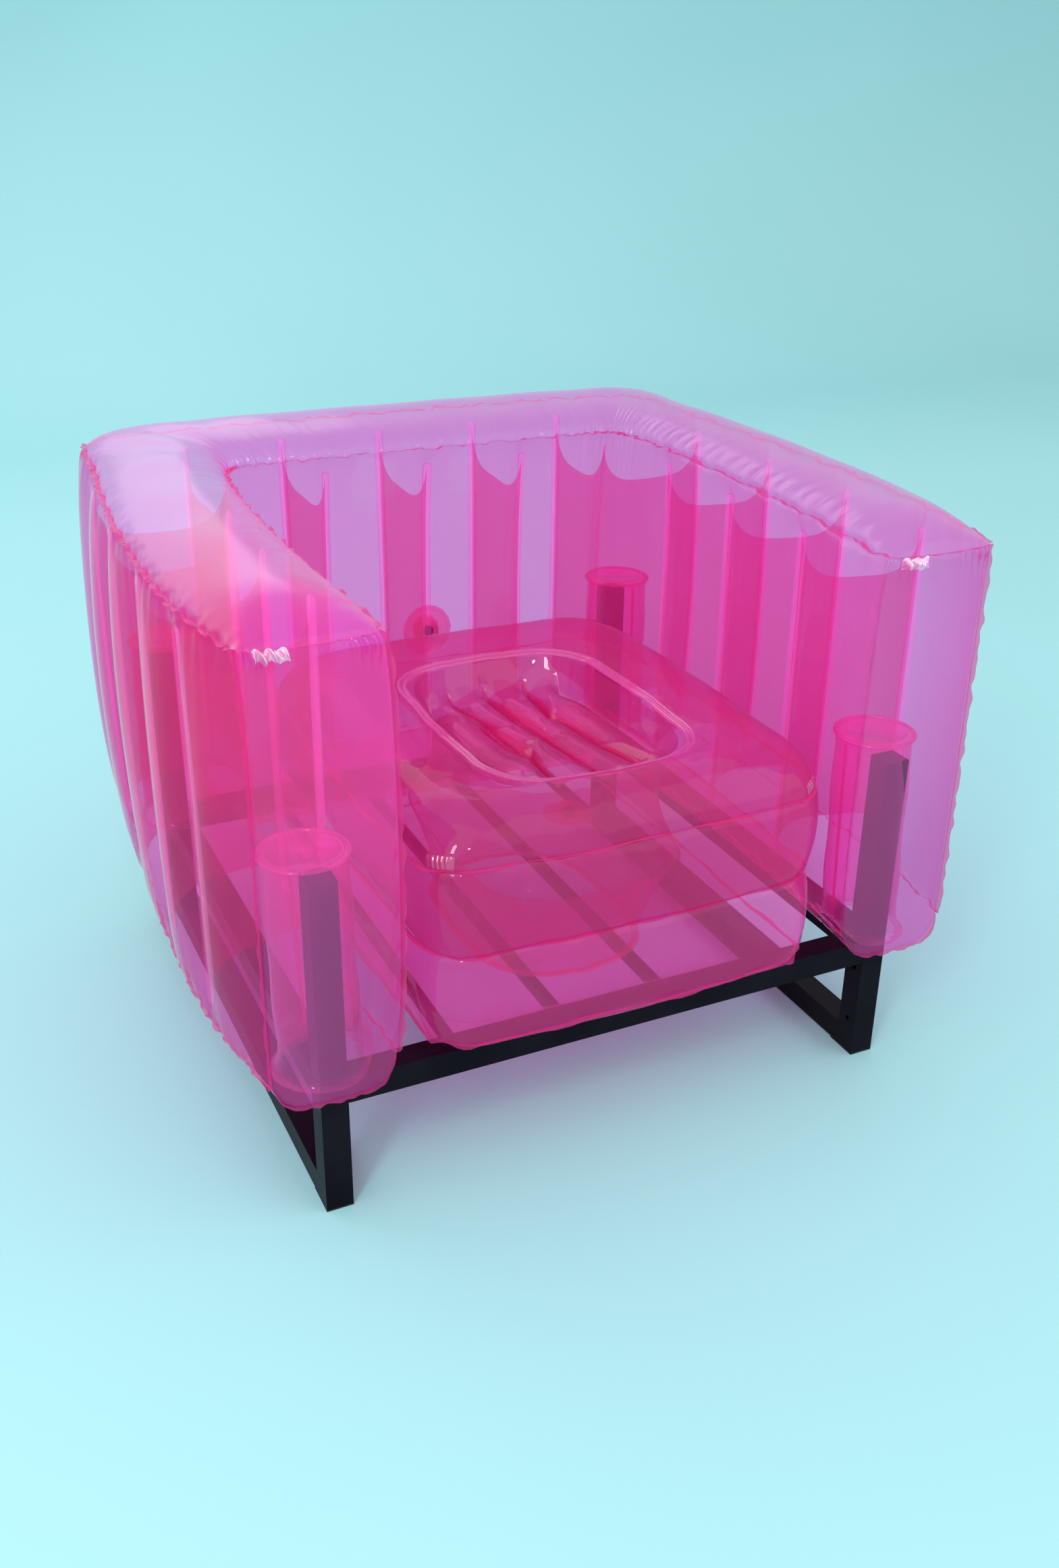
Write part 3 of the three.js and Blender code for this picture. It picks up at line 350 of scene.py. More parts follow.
def film(name, tint, edge_tint, scatter, gloss=0.035, bump=0.15, mirror=(0.035, 0.95, 8), rim=None):
    """See-through film: it tints what is behind it, deeper at a slant, and scatters some light.
    mirror is the shine face on, the shine at the steepest slant and the power of its rise.
    rim is a painted reflection: the pale colour that the scatter turns to at the steepest slant, in place
    of the film's shine at its silhouettes, and the power of its rise."""
    material, nodes, links = new_material(name)
    mottle = noise(nodes, links, 9, 3)
    slant = add(nodes, "LayerWeight", Blend=0.5).outputs["Facing"]
    depth = maths(nodes, links, "MULTIPLY_ADD", mottle, MOTTLE_SHARE, slant)
    depth = ramp(nodes, links, depth, 0, 1, 0.3, 1.2)
    clear = add(nodes, "BsdfTransparent")
    links.new(mix_colour(nodes, links, depth, tint, edge_tint), clear.inputs["Color"])
    # Wobble and fine creases of the film
    wobble = noise(nodes, links, 24, 2)
    fine = noise(nodes, links, 140, 3, 0.6, (1, 1, 0.35))
    creased = maths(nodes, links, "MULTIPLY_ADD", fine, CREASE_SHARE, wobble)
    normal = relief(nodes, links, creased, bump, FILM_RELIEF)
    # The pigment scatters light to both sides, more at a slant
    pigment = mix_colour(nodes, links, depth, *([c * by for c in scatter] for by in (FACE_ON, AT_SLANT)))
    # A given rim mixes a pale colour into the scatter at a slant: a painted reflection at the film's
    # silhouettes.
    if rim:
        steep = maths(nodes, links, "POWER", slant, rim[1])
        painted_sheen = add(nodes, "Mix")
        painted_sheen.data_type = "RGBA"
        links.new(steep, painted_sheen.inputs["Factor"])
        links.new(pigment, painted_sheen.inputs["A"])
        set_inputs(painted_sheen, B=(*rim[0], 1))
        pigment = painted_sheen.outputs["Result"]
    halves = []
    for kind in ("BsdfDiffuse", "BsdfTranslucent"):
        half = add(nodes, kind)
        links.new(pigment, half.inputs["Color"])
        links.new(normal, half.inputs["Normal"])
        halves.append(half)
    milk = add(nodes, "MixShader", Fac=0.5)
    links.new(halves[0].outputs["BSDF"], milk.inputs[1])
    links.new(halves[1].outputs["BSDF"], milk.inputs[2])
    hazy = add(nodes, "AddShader")
    links.new(clear.outputs["BSDF"], hazy.inputs[0])
    links.new(milk.outputs["Shader"], hazy.inputs[1])
    shine = add(nodes, "BsdfGlossy")
    links.new(ramp(nodes, links, mottle, gloss * 0.6, gloss + 0.03), shine.inputs["Roughness"])
    links.new(normal, shine.inputs["Normal"])
    # Both sides of a thin film shine alike
    facing = add(nodes, "LayerWeight", Blend=0.5)
    links.new(normal, facing.inputs["Normal"])
    rise = maths(nodes, links, "POWER", facing.outputs["Facing"], mirror[2])
    top = add(nodes, "MixShader")
    links.new(ramp(nodes, links, rise, mirror[0], mirror[1]), top.inputs["Fac"])
    links.new(hazy.outputs["Shader"], top.inputs[1])
    links.new(shine.outputs["BSDF"], top.inputs[2])
    surface(nodes, links, top.outputs["Shader"])
    return material


def solid_material(name, colour, worn, roughness, scale, metallic=0.0, bump=0.15, specular=0.14):
    """Paint, metal, rubber or moulded plastic with fine grain and slight wear."""
    material, nodes, links = new_material(name)
    shader = add(nodes, "BsdfPrincipled", Metallic=metallic, Specular_IOR_Level=specular)
    grain = noise(nodes, links, scale, 4, 0.6)
    patches = noise(nodes, links, scale / 9, 3)
    wear = ramp(nodes, links, patches, 0, 1, 0.35, 0.75)
    links.new(mix_colour(nodes, links, wear, colour, worn), shader.inputs["Base Color"])
    links.new(ramp(nodes, links, patches, roughness - 0.08, roughness + 0.1), shader.inputs["Roughness"])
    links.new(relief(nodes, links, grain, bump, SOLID_RELIEF), shader.inputs["Normal"])
    surface(nodes, links, shader.outputs["BSDF"])
    return material


# Films: the tint face on and at a slant, the pigment's scatter, and for some a rim: a pale colour at the
# silhouettes that is a painted reflection
TINTS, PAINTED_RIM_SHEEN = ((0.9, 0.57, 0.81), (0.8, 0.36, 0.66)), ((0.84, 0.92, 0.95), 17)
PINK = film("film", *TINTS, (0.185, 0.016, 0.098), rim=PAINTED_RIM_SHEEN)
# The outer wall's cyan-white rim is a painted reflection of the backdrop along the lobes' silhouettes.
OUTER_FILM = film("outer_film", (0.88, 0.55, 0.79), (0.74, 0.29, 0.56), (0.158, 0.012, 0.08),
                  rim=((0.88, 0.96, 1), 19))
# The crown's grey-lilac rim is a painted sheen: a broad soft reflection over its slanting parts.
CROWN_FILM = film("crown_film", (0.89, 0.54, 0.8), (0.79, 0.34, 0.64), (0.16, 0.02, 0.115),
                  gloss=0.24, bump=0.06, mirror=(0.04, 0.6, 3.8), rim=((0.4, 0.45, 0.5), 5))
NOSE_FILM = film("nose_film", (0.83, 0.5, 0.74), (0.74, 0.34, 0.6), (0.165, 0.035, 0.125))
# The sleeves' salmon-pale rim is a painted highlight that outlines them at their silhouettes.
SLEEVE_FILM = film("sleeve_film", (0.88, 0.54, 0.76), (0.62, 0.22, 0.42), (0.23, 0.04, 0.14),
                   gloss=0.03, bump=0.1, mirror=(0.05, 0.95, 4), rim=((0.8, 0.6, 0.68), 9))
CUSHION_FILM = film("cushion_film", (0.73, 0.42, 0.61), (0.66, 0.3, 0.49), (0.2, 0.022, 0.098),
                    gloss=0.03, mirror=(0.025, 0.9, 6))
LOWER_FILM = film("lower_film", *TINTS, (0.225, 0.026, 0.118), rim=PAINTED_RIM_SHEEN)
WELL_FILM = film("well_film", (0.66, 0.35, 0.53), (0.5, 0.17, 0.32), (0.23, 0.026, 0.11),
                 gloss=0.025, bump=0.1, mirror=(0.035, 0.9, 5))
# The welded rims' film turns pale at a slant: a painted highlight along their silhouettes.
RIM_FILM = film("rim_weld", (0.8, 0.46, 0.67), (0.55, 0.18, 0.4), (0.24, 0.045, 0.18),
                gloss=0.022, bump=0.06, mirror=(0.06, 0.95, 4), rim=((0.8, 0.66, 0.76), 12))
# The gathers' whitish scatter is a painted sparkle.
GATHER_SPARKLE_FILM = film("gathered_film_painted_sparkle", (0.86, 0.6, 0.78), (0.7, 0.3, 0.5), (0.35, 0.22, 0.3),
                   gloss=0.02, bump=0.1, mirror=(0.4, 0.95, 2))
TUCK_FILM = film("tucked_film", (0.9, 0.66, 0.82), (0.74, 0.36, 0.54), (0.12, 0.03, 0.07),
                 gloss=0.02, bump=0.1, mirror=(0.1, 0.95, 3))
DEEP = film("web_film", (0.76, 0.38, 0.56), (0.68, 0.26, 0.44), (0.2, 0.01, 0.068))
WELD = film("weld_film", (0.6, 0.25, 0.4), (0.45, 0.14, 0.26), (0.36, 0.04, 0.16), gloss=0.08, bump=0.5)
# The bead film's whitish scatter is a painted highlight along the welds.
BEAD_WITH_PAINTED_HIGHLIGHT = film("weld_bead", (0.9, 0.74, 0.87), (0.5, 0.14, 0.36), (0.26, 0.15, 0.26),
            gloss=0.04, mirror=(0.04, 0.9, 5))
VALVE = film("valve_plastic", (0.8, 0.58, 0.7), (0.62, 0.3, 0.44), (0.22, 0.045, 0.11),
             gloss=0.07, bump=0.1)
# Solids: colour, worn colour, roughness and the scale of the grain
PAINT = solid_material("frame_paint", (0.003, 0.002, 0.005), (0.007, 0.006, 0.01), 0.42, 90,
                       bump=0.1, specular=0.06)
STEEL = solid_material("bolt_steel", (0.42, 0.42, 0.44), (0.3, 0.3, 0.31), 0.38, 120, metallic=0.9)
RUBBER = solid_material("glide_rubber", (0.012, 0.012, 0.012), (0.03, 0.03, 0.03), 0.8, 200)
PIN = solid_material("valve_pin", (0.02, 0.012, 0.02), (0.035, 0.02, 0.035), 0.4, 120)

# The frame's and the valves' solids stay. By what is in a solid's name: its material, and the
# width in metres and the segments of its softened edges.
FINISHES = (
    (("rail", "post", "upright", "slat"), PAINT, (0.0022, 3)),
    (("bolt",), STEEL, None),
    (("glide",), RUBBER, None),
    (("valve_seat", "valve_collar"), VALVE, (0.0004, 2)),
    (("valve_pin",), PIN, (0.0004, 2)),
)
for name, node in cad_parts.items():
    for marks, material, edges in FINISHES:
        if not any(mark in name for mark in marks):
            continue
        node.data.materials.clear()
        node.data.materials.append(material)
        if edges:
            bevel = node.modifiers.new("soft_edges", "BEVEL")
            bevel.width, bevel.segments = edges
            bevel.limit_method = "ANGLE"
            bevel.angle_limit = math.radians(50)
            bevel.use_clamp_overlap = True

# The inflated U's walls, with their columns closer together beside the welds
WALL_COLUMNS, WALL_ROWS = 28, 61
stations = np.concatenate([k + eased(WALL_COLUMNS + 1, 0.8)[:-1] for k in range(SPANS)] + [[SPANS]])
for kind, material in (("outer", OUTER_FILM), ("inner", PINK)):
    grid = wall(kind, stations[:, None], eased(WALL_ROWS)[None, :])
    film_over(f"body_{kind}_wall", [grid], material, padded=1.0)


def seam_point(kind, end, s, wander=1.0):
    """A point of a weld in millimetres, with a share of its wander."""
    plan = line(kind + "_seam", s)
    sideways, upwards = (by * wander for by in seam_wander(kind, end, s))
    plan = plan + outwards(kind + "_groove", s) * (SIGN[kind] * sideways)[..., None]
    z = (seam_top(plan[..., 1]) if end == "top" else np.full(np.shape(s), float(SEAM_BOTTOM))) + upwards
    return np.stack([plan[..., 0], np.maximum(plan[..., 1], FRONT), z], -1)


def front_bow(s, c):
    """How far the weld at an arm's front bows forwards, fading within a small part of a span."""
    fade = np.exp(-np.minimum(s, SPANS - s) / FRONT_REACH)
    return FRONT_BOW * np.sqrt(np.abs(np.sin(np.pi * c))) * fade


def span(end, s, c):
    """From the inner weld to the outer as c goes from 0 to 1, bowed at the arms' fronts.
    The inner weld's wander reaches farther in than the outer one's."""
    near_inner, near_outer = np.exp(-c * 9), np.exp((c - 1) * 30)
    inner, outer = seam_point("inner", end, s, near_inner), seam_point("outer", end, s, near_outer)
    points = blend(inner, outer, c[..., None])
    points[..., 1] -= front_bow(s, c)
    return points


# The crown is rounder towards the inner weld than towards the outer one
ROUND_INNER, ROUND_OUTER = 0.5, 0.65


def crown(s, c):
    """The panel over the arms and the back, which drops to the front weld in a quarter round."""
    flat = span("top", s, c)
    run = np.clip((flat[..., 1] + front_bow(s, c) - FRONT) / CROWN_RUN, 0, 1)
    nose = np.sqrt(np.maximum(1 - (1 - run) ** 2, 0))
    bow = np.maximum(1 - (2 * c - 1) ** 2, 0) ** np.where(c < 0.5, ROUND_INNER, ROUND_OUTER)
    pleats = wave(71, s + 0.1 * c, periods=(5.3, 8.9, 12.1), size=0.6)
    edge = 0.8 * (np.exp(-c * 8) - np.exp(-c * 60)) + 0.08 * (np.exp((c - 1) * 12) - np.exp((c - 1) * 60))
    sag = 0.7 * np.cos(2 * np.pi * s) * np.sin(np.pi * c) ** 2
    # Fine pleats run from each weld towards the middle, longer at the inner one
    reach = np.exp(-c * (17 + 6 * np.sin(7.3 * s))) - np.exp(-c * 90)
    fine = wave(75, s + 0.05 * c, periods=(14.3, 19.1, 23.7), size=0.7) * reach
    flat[..., 2] += CROWN * nose * bow - nose * sag + (pleats * edge + fine) * nose
    return flat


CROWN_COLUMNS, CROWN_ROWS = 84, 41
grid = crown(*grid_of(np.linspace(0, SPANS, SPANS * CROWN_COLUMNS + 1), eased(CROWN_ROWS, 0.93)))
sheet("body_crown_film", grid, CROWN_FILM, "inflated_body", replaces=["body_crown_panel"], padded=1.0)

# Sleeves over the uprights: how far their tops lean, their places in plan and their radius
SLEEVE_LEANS = {"front_left": (-9, -5), "front_right": (-4, 5), "rear_left": (3, 2), "rear_right": (-2, 3)}
SLEEVE_PLACES = [(side * (HALF_WIDTH - TUBE / 2), end * (HALF_DEPTH - TUBE / 2 - UPRIGHT_INSET))
                 for end in (-1, 1) for side in (-1, 1)]
SLEEVE_R = math.hypot(TUBE / 2, TUBE / 2 + UPRIGHT_INSET) + 4


def belly_lift(c):
    return np.abs(2 * c - 1) ** 7


def belly(s, c):
    """The panel under the U, flat on the rails and curved up to its welds."""
    flat = span("bottom", s, c)
    flat[..., 2] = BELLY_LOW + (flat[..., 2] - BELLY_LOW) * belly_lift(c)
    return flat


# The belly panel is open where the sleeves' mouths are, with its points drawn to their rims
BELLY_COLUMNS, BELLY_ROWS, MOUTH_DRAW = 24, 41, 2
grid = belly(*grid_of(np.linspace(0, SPANS, SPANS * BELLY_COLUMNS + 1), np.linspace(0, 1, BELLY_ROWS)))
points = grid.reshape(-1, 3)
inside = np.zeros(len(points), bool)
for x, y in SLEEVE_PLACES:
    away = points[:, :2] - (x, y)
    reach = np.linalg.norm(away, axis=1)
    inside |= reach < SLEEVE_R - MOUTH_DRAW
    near = (reach >= SLEEVE_R - MOUTH_DRAW) & (reach < SLEEVE_R + MOUTH_DRAW)
    points[near, :2] = (x, y) + away[near] / reach[near, None] * SLEEVE_R
faces = [f for f in grid_faces(*grid.shape[:2]) if not inside[list(f)].any()]
make("body_belly_film", to_row(points), faces, PINK, "inflated_body",
     replaces=["body_belly_panel"], padded=1.0)

# An arm's nose is about this wide and high, for its pleats and puckers
NOSE_WIDTH, NOSE_HEIGHT, PUCKER_DEPTH = 140, 450, 6


def nose(side, c, h):
    """The front of an arm: c runs from its inner weld to its outer one, and h up."""
    station = np.full(h.shape, 0.0 if side < 0 else float(SPANS))
    x = blend(*(wall(kind, station, h)[..., 0] for kind in ("inner", "outer")), c)
    top = blend(*(seam_point(kind, "top", station)[..., 2] for kind in ("inner", "outer")), c)
    bottom = belly(station, c)[..., 2]
    z = bottom + (top - bottom) * h
    bow = np.sqrt(np.abs(np.sin(np.pi * h) * np.sin(np.pi * c)))
    edge = np.minimum(np.minimum(c, 1 - c) * NOSE_WIDTH, np.minimum(h, 1 - h) * NOSE_HEIGHT)
    pleats = wave(81 + side, 3.2 * h + 1.1 * c, periods=(1.7, 2.9, 4.3), size=1.6) * np.exp(-edge / 26)
    # The film puckers under the top corners
    below = (1 - h) * NOSE_HEIGHT / PUCKER_DEPTH
    corner = np.exp(-((np.minimum(c, 1 - c) - 0.14) * ARM_WIDTH / 15) ** 2) * below * np.exp(1 - below)
    pucker = (3.5 + 5 * np.sin(c * ARM_WIDTH / 1.6 + 2 * np.sin(h * 40))) * corner
    pleats = pleats * np.clip(edge / 6, 0, 1)
    y = FRONT - front_bow(station, c) - (NOSE - FRONT_BOW) * bow - pleats - pucker
    return np.stack([x, y, z], -1)


for name, side in SIDES.items():
    grid = nose(side, *grid_of(eased(121, 0.5), eased(121)))
    film_over(f"arm_nose_{name}", [grid], NOSE_FILM, padded=1.0)

# The film is gathered under the left arm's outer front corner and the right arm's inner one, over a share
# of the nose's width either side of a middle. Its pale scatter there is a painted sparkle.
GATHER_HALF, GATHER_START, GATHER_LENGTH = 0.115, 0.8, 11
for (name, side), middle in zip(SIDES.items(), (0.785, 0.215)):
    c, d = grid_of(np.linspace(-1, 1, 49), np.linspace(0, 1, 15))
    patch = nose(side, middle + GATHER_HALF * c, 1 - (GATHER_START + GATHER_LENGTH * d) / NOSE_HEIGHT)
    fold = np.sin(10.5 * c + 2.2 * d + side) * np.sin(np.pi * d) ** 0.7 * (1 - c ** 4)
    patch[..., 1] -= 2.2 + 3.4 * np.abs(fold)
    patch[..., 2] += 1.5 * np.cos(8 * c)
    sheet(f"gather_{name}", patch, GATHER_SPARKLE_FILM, "inflated_body")

# Welded flanges: a scalloped strip past each weld, doubled film
FLANGE_SHARES, FLANGE_CURL = (0, 0.35, 0.7, 1), 1.6
FLANGE_WIDTHS = {"top": 8, "bottom": 5, "side": 7, "front_top": 3.5, "front_low": 5.5}


def flange(base, out, s, seed, width):
    """Rows of points past the weld points base, along the directions out (unit, 3-D)."""
    reach = width * (0.8 + 0.3 * wave(seed, s, periods=(3.1, 4.7, 6.7)))
    lift = wave(seed + 1, s, periods=(4.3, 6.1, 9.1), size=FLANGE_CURL)
    rows = []
    for share in FLANGE_SHARES:
        point = base + out * (reach * share)[..., None]
        point[..., 2] += lift * share
        rows.append(point)
    return np.stack(rows, 1)


def level_out(kind, s, rise):
    """Directions out of a wall, with a rise."""
    out = outwards(kind + "_groove", s) * SIGN[kind]
    out = np.concatenate([out, np.full(out.shape[:-1] + (1,), rise)], -1)
    return out / np.linalg.norm(out, axis=-1, keepdims=True)


along = np.linspace(0, SPANS, SPANS * 36 + 1)
for kind, sign in SIGN.items():
    for end, rise in (("top", 0.15), ("bottom", -0.25)):
        grid = flange(seam_point(kind, end, along), level_out(kind, along, rise), along,
                      100 + 7 * len(kind + end) + sign, FLANGE_WIDTHS[end])
        sheet(f"weld_{kind}_{end}", grid, WELD, "inflated_body")

for name, side in SIDES.items():
    grids = []
    station = 0.0 if side < 0 else float(SPANS)
    h = np.linspace(0.0, 1.0, 140)
    for kind, sign in SIGN.items():
        base = wall(kind, np.full(h.shape, station), h)
        base[:, 1] = FRONT
        out = np.tile([side * sign * 0.72, -0.7, 0.0], (len(h), 1))
        grids.append(flange(base, out, 3 * h, 160 + side + sign * 5, FLANGE_WIDTHS["side"]))
    c = np.linspace(0, 1, 50)
    for end, panel, rise in (("front_top", crown, 0.2), ("front_low", belly, -0.28)):
        base = panel(np.full(c.shape, station), c)
        out = np.tile([0, -0.96, rise], (len(c), 1))
        grids.append(flange(base, out, 1.2 * c, 190 + side, FLANGE_WIDTHS[end]))
    sheets(f"weld_nose_{name}", grids, WELD, "inflated_body")

# Webs between the walls: the shares of the height where they end at the welds, and how far
# their scalloped edges dip
WEB_LOW, WEB_HIGH, WEB_DIP = 0.05, 0.955, 58


def groove_top(kind, weld):
    """The height of the top weld over a groove."""
    return seam_top(line(kind + "_groove", np.array(float(weld)))[1])


def web(inner_weld, outer_weld):
    """A web between two welds: u runs across from the inner one, and v up."""
    u, v = grid_of(eased(33, 0.9), np.linspace(0, 1, 49))
    rise = blend(groove_top("inner", inner_weld), groove_top("outer", outer_weld), u) - SEAM_BOTTOM
    scallop = (1 - np.abs(2 * u - 1) ** 4) ** 0.55
    z_low = SEAM_BOTTOM + rise * WEB_LOW + WEB_DIP * 0.8 * scallop
    z_high = SEAM_BOTTOM + rise * WEB_HIGH - WEB_DIP * scallop
    z = z_low + (z_high - z_low) * v
    h = (z - SEAM_BOTTOM) / rise
    start = wall("inner", np.full(u.shape, float(inner_weld)), h)
    end = wall("outer", np.full(u.shape, float(outer_weld)), h)
    points = blend(start, end, u[..., None])
    points[..., 2] = z
    across = (end - start)[16, 24, :2]
    normal = np.array([-across[1], across[0]]) / np.linalg.norm(across)
    buckle = wave(230 + inner_weld + 3 * outer_weld, 1.3 * v + 0.6 * u, periods=(0.9, 1.7), size=3.0)
    points[..., :2] += normal * (buckle * np.sin(np.pi * u))[..., None]
    return points


def mirror_weld(side, number):
    """A weld's number on the left arm, and its mirror's on the right."""
    return number if side < 0 else SPANS - number


for name, side in SIDES.items():
    for number in (1, 2, 3):
        weld = mirror_weld(side, number)
        film_over(f"arm_web_{name}_{number}", [web(weld, weld)], DEEP)
    corner, before, after = (mirror_weld(side, number) for number in (5, 4, 6))
    film_over(f"corner_web_{name}", [web(corner, before), web(corner, after)], DEEP)
for number, weld in enumerate((7, 8, 9), 1):
    film_over(f"back_web_{number}", [web(weld, weld)], DEEP)

# Where a web is welded to a wall, its film is folded into a half tube, rounded at its ends. Its whitish
# scatter is a painted highlight along the groove.
BEAD_HALF, BEAD_DEPTH = 5.2, 4.4


def bead(kind, weld):
    height = groove_top(kind, weld) - SEAM_BOTTOM
    low, high = (GROOVE_LOW + 4) / height, 1 - (GROOVE_TOP + 1) / height
    h = low + (high - low) * eased(110, 0.9)
    past = np.clip(np.minimum(h - low, high - h) * height / BEAD_HALF, 0.02, 1)
    taper = np.sqrt(past * (2 - past))
    out = outwards(kind + "_groove", np.full(h.shape, float(weld)))
    rows = []
    for turn in np.linspace(-math.pi / 2, math.pi / 2, 11):
        point = wall(kind, weld + np.sin(turn) * BEAD_HALF * taper / SPAN_LENGTH, h)
        depth = BEAD_DEPTH * math.cos(turn) * taper + 0.4
        point[:, :2] -= out * (SIGN[kind] * depth)[:, None]
        rows.append(point)
    return np.stack(rows, 0)


for kind in SIGN:
    sheets(f"weld_beads_{kind}", [bead(kind, weld) for weld in WELDS[kind][1:-1]], BEAD_WITH_PAINTED_HIGHLIGHT, "inflated_body")

# Sleeves over the uprights: a flat top with a welded rim, a tube, and a foot that flares into
# the belly. Each has a seam down its inner side.
SLEEVE_TOP = UPRIGHT_TOP + 22
# Distances from the tube's radius, and heights over the top or over the belly's low side
SLEEVE_TOP_RINGS = [(-9, -0.6), (-6, 1.4), (-3.5, 0.2), (-2.2, -1.2), (-0.6, 0.4), (1.4, -0.8),
                    (0.2, -3.4), (-0.6, -9)]
SLEEVE_FOOT_RINGS = [(0.4, 22), (1.6, 12), (4, 5), (7.5, 1.5), (10, 0.9)]
SLEEVE_RINGS = [
    (0.5, SLEEVE_TOP - 0.8), *((SLEEVE_R + r, SLEEVE_TOP + z) for r, z in SLEEVE_TOP_RINGS),
    *((SLEEVE_R + 0.9 * math.sin(z / 17), z) for z in np.linspace(SLEEVE_TOP - 20, BELLY_LOW + 34, 14)),
    *((SLEEVE_R + r, BELLY_LOW + z) for r, z in SLEEVE_FOOT_RINGS)]
RIM_RADIUS, RIM_HEIGHT = 2.6, 2
turn = np.linspace(0, 2 * np.pi, 97)[:-1]
for (corner, (lean_x, lean_y)), (base_x, base_y) in zip(SLEEVE_LEANS.items(), SLEEVE_PLACES):
    name = "sleeve_" + corner
    grid = np.zeros((len(turn), len(SLEEVE_RINGS), 3))
    for j, (radius, z) in enumerate(SLEEVE_RINGS):
        flare = max(0.0, 1 - (z - BELLY_LOW) / 40)
        wrinkle = wave(300, turn / 2 * 3, periods=(0.9, 1.5, 2.3), size=1.2) * flare * 0.5
        pull = 0.8 * np.cos(3 * turn + z / 60) * (radius > 30)
        lean = np.clip((z - BELLY_LOW - 20) / (SLEEVE_TOP - BELLY_LOW - 20), 0, 1)
        grid[:, j, 0] = base_x + lean_x * lean + (radius + wrinkle + pull) * np.cos(turn)
        grid[:, j, 1] = base_y + lean_y * lean + (radius + wrinkle + pull) * np.sin(turn)
        across = np.clip((np.abs(grid[:, j, 0]) - INNER_HALF) / ARM_WIDTH, 0, 1)
        floor = BELLY_LOW + (SEAM_BOTTOM - BELLY_LOW) * belly_lift(across)
        grid[:, j, 2] = np.maximum(z, floor + 0.9)
    film_over(name, [grid], SLEEVE_FILM, loop_rows=True)
    seam_turn = math.atan2(-base_y, -base_x) + 0.9
    strip = np.zeros((3, 40, 3))
    lean = np.linspace(0, 1, 40)
    for i, da in enumerate((-0.05, 0, 0.05)):
        strip[i, :, 0] = base_x + lean_x * lean + (SLEEVE_R + 1.1) * math.cos(seam_turn + da)
        strip[i, :, 1] = base_y + lean_y * lean + (SLEEVE_R + 1.1) * math.sin(seam_turn + da)
        strip[i, :, 2] = np.linspace(BELLY_LOW + 20, SLEEVE_TOP - 6, 40)
    sheet(f"weld_{name}", strip, WELD, "inflated_body")
    rim = np.zeros((len(turn), 13, 3))
    for j, around in enumerate(np.linspace(0, 2 * np.pi, 13)):
        radius = SLEEVE_R + 0.8 + RIM_RADIUS * math.cos(around) + 0.8 * np.cos(3 * turn + SLEEVE_TOP / 60)
        rim[:, j, 0] = base_x + lean_x + radius * np.cos(turn)
        rim[:, j, 1] = base_y + lean_y + radius * np.sin(turn)
        rim[:, j, 2] = SLEEVE_TOP - 1 + RIM_HEIGHT * math.sin(around) + 0.7 * np.sin(2 * turn + base_x)
    sheet(f"rim_{name}", rim, RIM_FILM, "inflated_body", loop_rows=True)

# The seat cushion, and what lies between its side and the arm: the wall's lobe, the bands'
# bulge, a flange and a gap
SIDE_LOBE, BAND_BULGE, CUSHION_FLANGE, SIDE_GAP = 20, 11, 6, 14
CUSHION_HALF = INNER_HALF - SIDE_LOBE - CUSHION_FLANGE - BAND_BULGE - SIDE_GAP
CUSHION_FRONT = FRONT - 2
CUSHION_BACK = INNER_BACK - 26
TOP_SEAM, CREST_TOP = RAIL_TOP + 222, RAIL_TOP + 273
BASE_Z, WAIST_Z = RAIL_TOP + 8, RAIL_TOP + 123
REST_Z, SEAT_Z = RAIL_TOP + REST_GAP, SLAT_TOP + 1.35
BAND_HEIGHT, BAND_ROWS = 115, 30
# Points along each side and round each corner of a loop
STEPS, CORNER = 22, 12


def ring(half, front, back, z, radius=62.0, bow=6.0):
    """A rounded oblong with bowed sides, as a closed loop of points."""
    middle, depth = (front + back) / 2, (back - front) / 2
    points = []
    for quarter in range(4):
        turn = quarter * math.pi / 2
        cos, sin = round(math.cos(turn)), round(math.sin(turn))
        ahead = (-sin, cos)
        long = (depth if cos else half) - radius
        for k in range(STEPS):
            share = 2 * k / STEPS - 1
            off = bow * math.cos(share * math.pi / 2) ** 1.2
            points.append((cos * (half + off) + ahead[0] * share * long,
                           sin * (depth + off) + ahead[1] * share * long))
        centre = ((half - radius) * (cos - sin), (depth - radius) * (cos + sin))
        for k in range(CORNER):
            angle = turn + k / CORNER * math.pi / 2
            points.append((centre[0] + radius * math.cos(angle), centre[1] + radius * math.sin(angle)))
    points = np.array(points)
    return np.stack([points[:, 0], middle + points[:, 1], np.full(len(points), float(z))], -1)


def inset(side, end, z, **shape):
    """A loop of the cushion's plan, drawn in at the sides and at the ends."""
    return ring(CUSHION_HALF - side, CUSHION_FRONT + end, CUSHION_BACK - end, z, **shape)


LOOP = len(inset(0, 0, 0))
AROUND = np.linspace(0, 1, LOOP + 1)[:-1]


def around_wave(seed, periods, size=1.0):
    """A wrinkle that closes on itself round the cushion."""
    rng = np.random.default_rng(seed)
    total = sum(np.sin(2 * np.pi * (4 * f * AROUND + rng.random())) / (1 + 0.3 * k)
                for k, f in enumerate(periods))
    return size * total / 1.8


def push(loop, by):
    """Moves a loop's points outwards in plan, by one amount or by one for each."""
    along = np.roll(loop, -1, 0) - np.roll(loop, 1, 0)
    out = np.stack([along[:, 1], -along[:, 0]], -1)
    out /= np.linalg.norm(out, axis=1, keepdims=True)
    moved = loop.copy()
    moved[:, :2] += out * np.broadcast_to(by, len(loop))[:, None]
    return moved


def round_sheet(name, loops, material, **options):
    """A sheet round the cushion through a row of loops."""
    sheet(name, np.stack(loops, 1), material, "seat_cushion", loop_rows=True, **options)


